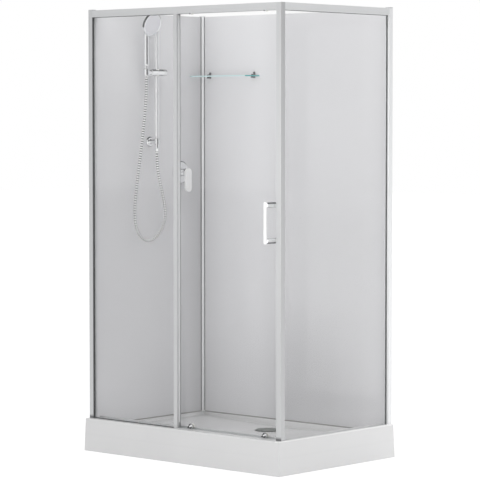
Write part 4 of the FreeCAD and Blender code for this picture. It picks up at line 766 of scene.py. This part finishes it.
def hose_stretch(name, line, lengths, first, last):
    """A length of the ribbed hose as a closed tube, its ribs running on from the stretch before."""
    pitch = lengths[-1] / HOSE_RIBS
    valley = HOSE_DIAMETER / 2 - HOSE_RIB
    out = Vector(RIGHT)
    rings = []
    grooves = []
    for spot in range(first, last + 1):
        ahead = (line[min(spot + 1, len(line) - 1)] - line[max(spot - 1, 0)]).normalized()
        side = ahead.cross(out)
        ridge = abs(math.sin(math.pi * lengths[spot] / pitch)) ** HOSE_RIB_FULLNESS
        radius = valley + HOSE_RIB * ridge
        angles = [2 * math.pi * step / HOSE_SIDES for step in range(HOSE_SIDES)]
        ways = [out * math.cos(angle) + side * math.sin(angle) for angle in angles]
        rings.append([line[spot] + way * radius for way in ways])
        grooves += [1 - ridge] * HOSE_SIDES
    mesh = ring_mesh(name, rings, HOSE)
    mesh.attributes.new("groove", "FLOAT", "POINT").data.foreach_set("value", grooves)
    return shown(name, mesh, 70)


def make_hose():
    """The hose in four stretches, cut where it rises past set heights."""
    line = hose_line()
    lengths = line_lengths(line)
    lowest = min(range(len(line)), key=lambda spot: line[spot].z)

    def rising(height):
        return next(spot for spot in range(lowest, len(line)) if line[spot].z >= height)

    cuts = [0, *[rising(height) for height in HOSE_CUTS], len(line) - 1]
    names = ("hose_loop", "hose_rise", "hose_upper", "hose_tail")
    loop, rise, upper, tail = [
        hose_stretch(name, line, lengths, first, last) for name, first, last in zip(names, cuts, cuts[1:])
    ]
    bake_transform(loop)
    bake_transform(rise)
    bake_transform(upper)
    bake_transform(tail)
    for piece in (loop, rise, upper, tail):
        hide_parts("shower_hose")


make_hose()


# Plain pieces, each with its finish and how wide its edges are eased, in metres. A pane has its axis too

TRAY_EASE = 0.004
TRAY_SHARP = 16
PANE = (GLASS, 0.0005, GLASS_EDGE)
PLAIN_PIECES = (
    ("drain_flange", WASTE, 0.0006),
    ("drain_gasket", FOOT, 0.0004),
    ("drain_trap", PIPE, 0.0006),
    ("hair_strainer", PIPE, 0.0003),
    ("support_frame", ZINC, 0.001),
    ("foot_pads", FOOT, 0.0012),
    ("foot_studs", STEEL, 0.0004),
    ("rail_screws", STEEL, 0.0002),
    ("left_front_post", SILVER_POST, 0.0008),
    ("front_corner_post", SILVER_POST, 0.0008),
    ("back_right_post", SILVER_BACK, 0.0008),
    ("fixed_end_profile", SILVER_UP, 0.0008),
    ("door_edge_profile", SILVER_UP, 0.0008),
    ("post_end_caps", SILVER_ALONG, 0.0012),
    ("top_front_rail", SILVER_ALONG, 0.0008),
    ("door_bottom_track", SILVER_ALONG, 0.0008),
    ("top_side_rail", SILVER_SIDE, 0.0008),
    ("fixed_glass", *PANE, 1),
    ("side_glass", *PANE, 0),
    ("door_glass", *PANE, 1),
    ("left_wall_panel", WALL, 0.0006),
    ("back_wall_panel", WALL, 0.0006),
    ("door_magnet_strip", STRIP, 0.0004),
    ("roller_axles", STEEL, 0.0003),
    ("handle_screws", STEEL, 0.0004),
    ("handle_bar", HANDLE, 0.0006),
    ("mixer_cartridge", BRASS, 0.0004),
    ("mixer_valve", BRASS, 0.0006),
    ("mixer_lever", LEVER, 0.0006),
    ("mixer_pipe", BRASS, 0.0006),
)

eased("tray_shell", ACRYLIC, TRAY_EASE, sharp=TRAY_SHARP)
for row in PLAIN_PIECES:
    eased(*row)


# Turned fittings: corners are (radius, height, rounding) in millimetres

RISER = at(RISER_X, RISER_Y, 0)
SLIDER = at(RISER_X, RISER_Y, SLIDER_Z)
HANDSET = at(RISER_X, HANDSET_Y, 0)
HEAD = at(-505, HANDSET_Y, 1978.46)
HEAD_TILT = math.radians(90 + 18)
HEAD_WAY = Vector((math.sin(HEAD_TILT), 0, math.cos(HEAD_TILT)))
HEAD_RIM = 0.0525
HEAD_DARK_ARCS = ((100, 195), (35, 62))
NECK_STEPS = 12
NECK_SIDES = 40
MIXER = at(PANEL_X, 234, 1280)
MIXER_SLEEVE_REACH = 0.03
CAP_DARK_RING = (0.0035, 0.0098)
CAP_LIT_FROM = 0.003
FOOT_PLACES = ((-420, -270), (-420, 270), (380, -270), (380, 270), (0, 0))
HANDLE_X = 520
HANDLE_Z = (1011, 1166)
ROSETTE = [(23.5, 0, 0.6), (23.5, 4, 2.5), (20, 8, 2), (11, 8, 3)]


def leaning(piece):
    """The piece carries how far its skin faces up, which says where chrome gets painted dark reflection."""
    lean = piece.data.attributes.new("lean", "FLOAT", "POINT")
    lean.data.foreach_set("value", [normal.vector.z for normal in piece.data.vertex_normals])
    return piece


def repaint(piece, rule):
    """Sets the piece's lean by place: the rule makes it from a point and the lean that is there."""
    for point, lean in zip(piece.data.vertices, piece.data.attributes["lean"].data):
        lean.value = rule(point.co, lean.value)


def fitting(name, node, *meshes):
    """One mesh, or several as one, in a node's place."""
    mesh = gathered(name, meshes) if len(meshes) > 1 else meshes[0]
    return dress(leaning(shown(name, mesh)), node)


def turned_fitting(name, node, *shape):
    """A fitting that is turned in one piece."""
    return fitting(name, node, turned(name, *shape))


def make_riser():
    """The riser rail, its upper bracket and the water outlet that carries its foot."""
    stub_radius = 10.48
    turned_fitting("riser_tube", "riser_rail", RAIL_CHROME, RISER, UP, rod(9.5, 1436, 1990, 0.5, 3))
    arm = [(0, 0), *ROSETTE, (11, 59.5, 4), (0, 59.5)]
    turned_fitting("bracket", "riser_bracket", CHROME, at(PANEL_X, RISER_Y, BRACKET_Z), RIGHT, arm)
    corners = [(0, -30), (stub_radius, -30, 0.8), (stub_radius, 0), *ROSETTE, (11, 50), (0, 50)]
    stub = turned("outlet", CHROME, at(PANEL_X, RISER_Y, OUTLET_Z), RIGHT, corners)
    body = turned("outlet_body", CHROME, RISER, UP, rod(13, 1415, 1444, 1.5, 1.5))
    fitting("outlet", "outlet_elbow", carved(stub, body, "UNION"))
    behind = at(PANEL_BACK_X, RISER_Y, OUTLET_Z)
    back_nut = tube(stub_radius, 17, 0, 6, 0.8)
    turned_fitting("back_nut", "outlet_back_nut", BRASS, behind, LEFT, back_nut, 6, True)
    nut = [
        (4.5, 0), (8, 0, 0.6), (9.6, 15, 0.5), (9.2, 16), (9.2, 17), (10, 17.6, 0.4), (10, 33, 0.8),
        (4.5, 33),
    ]
    below = at(RISER_X, RISER_Y, OUTLET_NUT_Z)
    turned_fitting("hose_nut", "outlet_hose_nut", CHROME, below, UP, nut, 40, True)


def make_slider():
    """The slider on the riser rail, its clamp knob and the holder for the handset."""
    barrel_end = 36
    sleeve = tube(9.55, 11.55, -15, 15, 0.5)
    turned_fitting("slider_bush", "slider_sleeve", NYLON, SLIDER, UP, sleeve, 40, True)
    barrel = [
        (0, -39), (16, -39, 2), (16, -31), (15.5, -30.6), (15.5, -29.4), (16, -29), (16, barrel_end, 1.2),
        (0, barrel_end),
    ]
    body = turned("slider_barrel", SLIDER_CHROME, SLIDER, BACK, barrel)
    bore = turned("slider_bore", SLIDER_CHROME, SLIDER, UP, rod(11.65, -40, 40))
    fitting("slider_barrel", "slider_body", carved(body, bore, "DIFFERENCE"))
    drum_radius = 14.9
    knob = [
        (0, -11), (4, -11, 0.5), (4, 1), (15.4, 1, 1), (15.4, 4), (drum_radius, 4.6), (drum_radius, 18.4),
        (15.4, 19), (15.4, 23, 2), (0, 23),
    ]
    end = SLIDER + at(0, barrel_end, 0)
    drum = turned("clamp_knob_drum", SLIDER_CHROME, end, BACK, knob)
    ribs = GRIP_RIBS.made(
        "clamp_knob_ribs", count=30, drum=drum_radius / 1000, radius=0.0009, length=0.0138,
        place=end + at(0, 11.5, 0), turn=(math.radians(90), 0, 0),
    )
    fitting("clamp_knob", "slider_knob", drum, ribs)
    seat = HANDSET + at(0, 0, SLIDER_Z)
    cup = turned("handset_cup", CHROME, seat, UP, rod(15, -15, 16, 2, 2))
    boss = turned("handset_boss", CHROME, seat, BACK, rod(12, 0, 30.7, None, 0.8))
    cone = turned("handset_cone", CHROME, seat, UP, [(0, -30), (7.87, -30), (12.07, 30), (0, 30)])
    fitting("handset_cup", "handset_holder", carved(carved(cup, boss, "UNION"), cone, "DIFFERENCE"))


def handset_grip(foot):
    """The handset's straight grip, and its neck bent over to the back of the head."""
    neck_foot = 1925
    start = at(RISER_X, HANDSET_Y, neck_foot)
    over = at(RISER_X, HANDSET_Y, 1970)
    end = HEAD - HEAD_WAY * 0.007
    straight = [
        (0, foot), (8, foot, 0.5), (8, 1785, 1), (11, 1785, 2), (12.5, 1791, 3), (12.5, 1900),
        (12.4, neck_foot),
    ]
    outline = rounded(straight, False)
    steps = [(at(RISER_X, HANDSET_Y, height), Vector(UP), radius) for radius, height in outline]
    for step in range(1, NECK_STEPS + 1):
        share = step / NECK_STEPS
        point = start * (1 - share) ** 2 + over * 2 * share * (1 - share) + end * share ** 2
        ahead = ((over - start) * (1 - share) + (end - over) * share).normalized()
        steps.append((point, ahead, 12.4 - 1.9 * math.sin(share * math.pi / 2)))
    side = Vector(BACK)
    rings = []
    for point, ahead, radius in steps:
        up = ahead.cross(side)
        angles = [2 * math.pi * (step + 0.5) / NECK_SIDES for step in range(NECK_SIDES if radius else 1)]
        ways = [side * math.cos(angle) + up * math.sin(angle) for angle in angles]
        rings.append([point + way * radius / 1000 for way in ways])
    return ring_mesh("handset_grip", rings, CHROME)


def head_lean(point, lean):
    """The head's rim gets painted dark reflection along two arcs, told by their angles round the head."""
    away = point - HEAD
    up = Vector(BACK).cross(HEAD_WAY) * -1
    angle = math.degrees(math.atan2(away.dot(up), away.y)) % 360
    on_rim = (away - HEAD_WAY * away.dot(HEAD_WAY)).length > HEAD_RIM
    return 1.0 if on_rim and any(low < angle < high for low, high in HEAD_DARK_ARCS) else lean


def make_handset():
    """The handset's nut, its grip with the round head, and the spray face."""
    foot, seam = 1732.96, 1772.96
    nut = [
        (4.5, foot), (8.2, foot, 0.6), (8.76, 1741), (8.5, 1741.4), (8.6, 1742.6), (8.9, 1743),
        (11, seam, 0.8), (4.5, seam),
    ]
    turned_fitting("handset_nut", "handset_hose_nut", CHROME, HANDSET, UP, nut, 40, True)
    rim, well = 55.5, 50.7
    back = [
        (0, -16), (12, -16, 4), (30, -11.5, 12), (51, -6.5, 6), (rim, -2.5, 2.5), (rim, 7, 0.9),
        (well, 7, 0.5), (well, 3), (0, 3),
    ]
    dish = turned("handset_shell", CHROME, HEAD, HEAD_WAY, back, 64)
    shell = fitting("handset_shell", "handset_body", carved(handset_grip(seam), dish, "UNION"))
    repaint(shell, head_lean)
    front = [
        (0, 3), (50.5, 3), (50.5, 7, 0.4), (49, 7.8, 0.6), (48.5, 7.2), (47.9, 7.2), (47.5, 7.8), (22, 8.0),
        (0, 8.0),
    ]
    face = turned("spray_face", FACE, HEAD, HEAD_WAY, front, 64)
    nozzles = NOZZLE_RINGS.made(
        "nozzles", count=127, spacing=0.0073, radius=0.0017, height=0.0016,
        place=HEAD + HEAD_WAY * 0.0077, turn=(0, HEAD_TILT, 0),
    )
    fitting("spray_face", "handset_spray_face", face, nozzles)


def mixer_lean(point, lean):
    """The mixer's sleeve gets less painted dark reflection than its plate, so it is brighter."""
    away = point - MIXER
    return lean * 0.3 if math.hypot(away.y, away.z) < MIXER_SLEEVE_REACH else lean


def make_mixer():
    rosette = [(18, 0), (54, 0, 0.8), (54, 4, 3), (49, 8, 3), (20.5, 8, 5), (20.5, 40, 1), (18, 40)]
    plate = turned_fitting("mixer_plate", "mixer_rosette", CHROME, MIXER, RIGHT, rosette, 64, True)
    repaint(plate, mixer_lean)
    turned_fitting("mixer_ring", "mixer_collar", CHROME, MIXER, RIGHT, rod(19, 40.3, 45.3, 0.4, 1))


def cap_lean(point, lean):
    """A roller's cap gets painted dark reflection in a ring round its middle, left open at the upper right.
    """
    across = min((point.x - x / 1000 for x in ROLLER_X.values()), key=abs)
    up = min((point.z - z / 1000 for z in ROLLER_Z.values()), key=abs)
    in_ring = CAP_DARK_RING[0] < math.hypot(across, up) < CAP_DARK_RING[1]
    return 1.0 if in_ring and (across < CAP_LIT_FROM or up < 0) else lean * 0.4


def make_rollers():
    """The door's four wheels and the caps in front of them, which are wider at the foot of the door."""
    wheel = [
        (3.05, -3), (11, -3, 0.5), (11, -1.4, 0.3), (10.2, -0.6, 0.4), (10.2, 0.6, 0.4), (11, 1.4, 0.3),
        (11, 3, 0.5), (3.05, 3),
    ]
    caps = []
    for x_name, x in ROLLER_X.items():
        for z_name, z in ROLLER_Z.items():
            place = f"{z_name}_{x_name}"
            hub = at(x, WHEEL_Y, z)
            turned_fitting(f"{place}_wheel", f"{place}_roller", NYLON, hub, BACK, wheel, 40, True)
            wide = 12.3 if z_name == "bottom" else 11
            cap = [
                (0, 0), (wide, 0, 0.5), (wide, 2.6, 1.5), (wide - 3, 6, 3), (4, 8, 2), (3.2, 8, 0.4),
                (2.8, 7, 0.3), (0, 7),
            ]
            caps.append(turned("roller_button", CHROME, at(x, DOOR_FRONT_Y, z), FRONT, cap, 40))
    buttons = fitting("roller_buttons", "roller_caps", *caps)
    repaint(buttons, cap_lean)


def make_threads():
    """The threads of the five feet."""
    sizes = {"count": 17, "pitch": 0.0019, "radius": 0.0060, "ridge": 0.0005}
    turns = []
    for x, y in FOOT_PLACES:
        turns.append(THREAD_TURNS.made("foot_thread", **sizes, place=at(x, y, 12), turn=(0, 0, 0)))
    attach(shown("foot_threads", gathered("foot_threads", turns)), "cabin")


def make_door_dark_blocks():
    """Small black blocks on the door's foot, beside its rollers."""
    low, high, front = 154.2, 160.5, DOOR_FRONT_Y - 5
    dark_blocks = [block(FOOT, (x - 17, front, low), (x - 9, DOOR_FRONT_Y, high), 1) for x in ROLLER_X.values()]
    attach(shown("door_dark_blocks", gathered("door_dark_blocks", dark_blocks)), "door")


def handle_lean(point, lean):
    """The lower post of the handle gets painted dark reflection underneath."""
    return -lean if point.z < sum(HANDLE_Z) / 2000 else lean


def make_handle():
    """The handle's two posts, with a groove near each end."""
    wide, groove = 12, 11.4
    post = [
        (0, 0), (wide, 0, 0.6), (wide, 4), (groove, 4.5), (groove, 5.5), (wide, 6), (wide, 50),
        (groove, 50.5), (groove, 51.5), (wide, 52), (wide, 55.5, 0.6), (0, 55.5),
    ]
    places = [at(HANDLE_X, DOOR_FRONT_Y, z) for z in HANDLE_Z]
    posts = [turned("handle_post", PALE_CHROME, place, FRONT, post, 40) for place in places]
    stems = fitting("handle_stems", "handle_posts", *posts)
    repaint(stems, handle_lean)


NOZZLE_RINGS = nozzle_rings()
GRIP_RIBS = grip_ribs()
THREAD_TURNS = thread_turns()
make_riser()
make_slider()
make_handset()
make_mixer()
make_rollers()
make_handle()


# Strips, shelf and waste cover

PANE_LOW, PANE_TOP = 150, 2002
PANEL_LOW, PANEL_TOP = 114, 2029
SILL_LOW = 110
FIXED_LEFT, FIXED_RIGHT = -576, -59
SIDE_FRONT, SIDE_BACK = -339, 376
LIP_LOW, LIP_TOP = 176, 1996
FRAME_TOP = 2034
CLIP_X = (-536, -250)
WASTE_PLACE = at(-25, 238, 0)
WASTE_LEG_REACH = 53


def make_strips():
    """The panes' gaskets, the panels' strips and the lip where the door overlaps the fixed pane."""
    upper = PANE_TOP - 2
    fixed = [
        block(GASKET, (FIXED_LEFT, -363.5, PANE_LOW), (-571.5, -361, PANE_TOP), 0.6),
        block(GASKET, (FIXED_LEFT, -356, PANE_LOW), (-572, -353.5, PANE_TOP), 0.6),
        block(GASKET, (FIXED_LEFT, -363, upper), (FIXED_RIGHT, -361, PANE_TOP), 0.4),
        block(GASKET, (FIXED_LEFT, -356, upper), (FIXED_RIGHT, -354, PANE_TOP), 0.4),
        block(GASKET, (FIXED_LEFT, -363, PANE_LOW), (FIXED_RIGHT, -354, 152.6), 0.5),
    ]
    fitting("front_gasket", "fixed_glass_gasket", *fixed)
    side = [
        block(GASKET, (568, 373.4, PANE_LOW), (569.6, SIDE_BACK, PANE_TOP), 0.4),
        block(GASKET, (561.4, 374.4, PANE_LOW), (563, SIDE_BACK, PANE_TOP), 0.4),
        block(GASKET, (568, SIDE_FRONT, upper), (570, SIDE_BACK, PANE_TOP), 0.4),
        block(GASKET, (561, SIDE_FRONT, upper), (563, SIDE_BACK, PANE_TOP), 0.4),
    ]
    fitting("side_gasket", "side_glass_gasket", *side)
    walls = [
        block(GASKET, (PANEL_X, 378, PANEL_LOW), (-585.4, 381, PANEL_TOP), 0.5),
        block(GASKET, (-577, 390.4, PANEL_LOW), (-574, 393, PANEL_TOP), 0.5),
        block(SILL, (PANEL_BACK_X, -339, SILL_LOW), (PANEL_X, 379, PANEL_LOW), 0.4),
        block(SILL, (-574, 393, SILL_LOW), (555, 398, PANEL_LOW), 0.4),
    ]
    fitting("wall_strips", "wall_panel_gaskets", *walls)
    lips = [
        block(SEAL, (-51, -352.5, LIP_LOW), (-38.3, -349, LIP_TOP), 0.5),
        block(SEAL, (-45, -349.5, LIP_LOW), (-38.6, -344.2, LIP_TOP), 0.8),
    ]
    fitting("overlap_lip", "overlap_seal", *lips)


def make_corner():
    """The inner corner's angle, hollowed between its two legs."""
    outline = [
        (-600, 400, 1), (-600, 382), (-593, 382), (-593, 387.5), (-588, 387.5), (-588, 382),
        (-584.6, 382, 0.8), (-584.6, 389.6, 3), (-577, 389.6, 0.8), (-577, 393), (-582.5, 393),
        (-582.5, 398), (-577, 398), (-577, 400),
    ]
    line = rounded(outline, True, 3)
    rings = [[at(x, y, z) for x, y in line] for z in (SILL_LOW, FRAME_TOP)]
    fitting("corner_angle", "back_left_corner_profile", ring_mesh("corner_angle", rings, SILVER_BACK))


def make_shelf():
    """The glass shelf, with a pale front edge and deep ends, and the two clips that hold it."""
    shelf = eased("shelf_glass", SHELF, 0.0008, SHELF_EDGE, 2)
    shelf.data.materials.append(SHELF_END)
    for face in shelf.data.polygons:
        if abs(face.normal.x) > 0.8:
            face.material_index = 2
    holders = []
    for x in CLIP_X:
        holders += [
            block(DARK_CHROME, (x - 5, 386, 1730), (x + 5, 393, 1760), 2.5),
            block(DARK_CHROME, (x - 5, 372, 1743), (x + 5, 388, 1750), 2),
            block(DARK_CHROME, (x - 4.5, 370, 1731), (x + 4.5, 388, 1737), 1.5),
            turned("holder_screw", STEEL, at(x, 377, 1731), DOWN, rod(3, -2, 0.6, None, 0.4), 24),
        ]
    fitting("shelf_clips", "shelf_holders", *holders)


def make_waste_cover():
    """The waste's lid, with a groove near its rim, on three legs."""
    low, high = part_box("drain_cover")
    base = low.z * 1000
    top = high.z * 1000
    lid = [
        (0, top - 5), (57, top - 5, 1), (60, top - 4, 1), (60, top - 1.6, 1.4), (56, top - 0.6, 1),
        (55, top - 1.1), (54, top - 1.1), (53, top - 0.5, 1), (0, top),
    ]
    parts = [turned("waste_lid", WASTE, WASTE_PLACE, UP, lid, 72)]
    for step in range(3):
        angle = math.radians(90 + 120 * step)
        spot = WASTE_PLACE + at(math.cos(angle), math.sin(angle), 0) * WASTE_LEG_REACH
        parts.append(turned("waste_leg", WASTE, spot, UP, rod(3, base, top - 4, 0.6), 20))
    fitting("waste_lid", "drain_cover", *parts)


make_threads()
make_door_dark_blocks()
make_strips()
make_corner()
make_shelf()
make_waste_cover()


# Room and light

SOFT = 0.55
OVERHEAD = 1.0
FLOOR_REACH = 30
FLOOR_DROP = 0.0005
FLOOR_FADE = (2, 26)
FLOOR_GLOW = 0.88

# The way to each dark screen, its inner and outer angle in degrees, and how dark it is
SCREENS = (
    ((0.67, 0.74, 0.0), 18, 40, 0.52),
    ((0.978, -0.208, 0.0), 28, 42, 0.95),
    ((-1.0, 0.0, 0.05), 15, 30, 0.8),
)


def make_floor():
    """A pale floor, white to the eye, that keeps the shadow. In mirrors it fades towards its far edge."""
    skin = Finish("floor_pale")
    cloud = skin.grain(2, 3)
    mirrored, seen = skin.sight()
    away = skin.node("ShaderNodeVectorMath", {"operation": "LENGTH"}, {0: skin.place}, "Value")
    fading = skin.mix(skin.band(away, *FLOOR_FADE) * mirrored * 0.5, (1, 1, 1, 1), (0, 0, 0, 1))
    pale = skin.mix(cloud, tone(244), tone(248))
    cloth = skin.skin(pale, 0.9)
    thin = skin.node("ShaderNodeBsdfDiffuse", sockets={"Color": (0.22, 0.22, 0.22, 1)})
    glow = skin.node("ShaderNodeEmission", sockets={"Color": fading, "Strength": FLOOR_GLOW})
    white = skin.node("ShaderNodeAddShader", sockets={0: thin, 1: glow})
    skin.done(skin.node("ShaderNodeMixShader", sockets={0: seen, 1: cloth, 2: white}))
    mesh = bpy.data.meshes.new("floor")
    signs = ((-1, -1), (1, -1), (1, 1), (-1, 1))
    mesh.from_pydata([(x * FLOOR_REACH, y * FLOOR_REACH, -FLOOR_DROP) for x, y in signs], [], [(0, 1, 2, 3)])
    mesh.materials.append(skin.material)
    floor = placed("floor", mesh)


def make_room():
    """Soft light from all round. The eye and glass see a white room, and mirrors its dark parts too."""
    world = bpy.data.worlds.new("studio")
    scene.world = world
    world.use_nodes = True
    sky = Bench(world.node_tree)
    mirrored, seen = sky.sight()
    way = sky.node("ShaderNodeTexCoord", output="Generated")
    height = sky.node("ShaderNodeSeparateXYZ", sockets={"Vector": way}, output="Z")
    dark = sky.band(height, 0.5, 0.75) * 0.8
    for towards, inner, outer, depth in SCREENS:
        near = sky.node("ShaderNodeVectorMath", {"operation": "DOT_PRODUCT"}, {0: way, 1: towards}, "Value")
        dark = dark + sky.band(near, math.cos(math.radians(outer)), math.cos(math.radians(inner))) * depth
    shade = sky.mix(dark * mirrored, (1, 1, 1, 1), (0.06, 0.06, 0.065, 1))
    level = sky.mix(sky.band(height, 0.1, 0.9), (SOFT, SOFT, SOFT, 1), (OVERHEAD, OVERHEAD, OVERHEAD, 1))
    soft = sky.node("ShaderNodeBackground", sockets={"Color": level, "Strength": 1.0})
    white = sky.node("ShaderNodeBackground", sockets={"Color": shade, "Strength": 1.0})
    both = sky.node("ShaderNodeMixShader", sockets={0: seen, 1: soft, 2: white})
    sky.node("ShaderNodeOutputWorld", sockets={"Surface": both})


def lamp(name, place, towards, size, power, spread=180):
    """A round lamp that lights the part and isn't seen, in a mirror either."""
    data = bpy.data.lights.new(name, "AREA")
    data.shape = "DISK"
    data.size = size
    data.energy = power
    data.spread = math.radians(spread)
    light = placed(name, data)
    light.location = place
    light.rotation_euler = (Vector(towards) - Vector(place)).to_track_quat("-Z", "Y").to_euler()
    light.visible_camera = False
    light.visible_glossy = False


make_floor()
make_room()
lamp("top_light", place=(0.2, -0.4, 3.1), towards=(-0.2, 0.3, 1.2), size=1.2, power=7)
lamp("front_light", place=(2.0, -3.4, 0.7), towards=(0.3, 0.2, 0.6), size=1.6, power=12)
lamp("door_light", place=(0.9, -1.9, 1.4), towards=(0.4, 0.39, 1.3), size=0.8, power=2.4, spread=70)
lamp("right_light", place=(1.7, 1.6, 0.5), towards=(0.5, 0.3, 0.2), size=0.9, power=7)
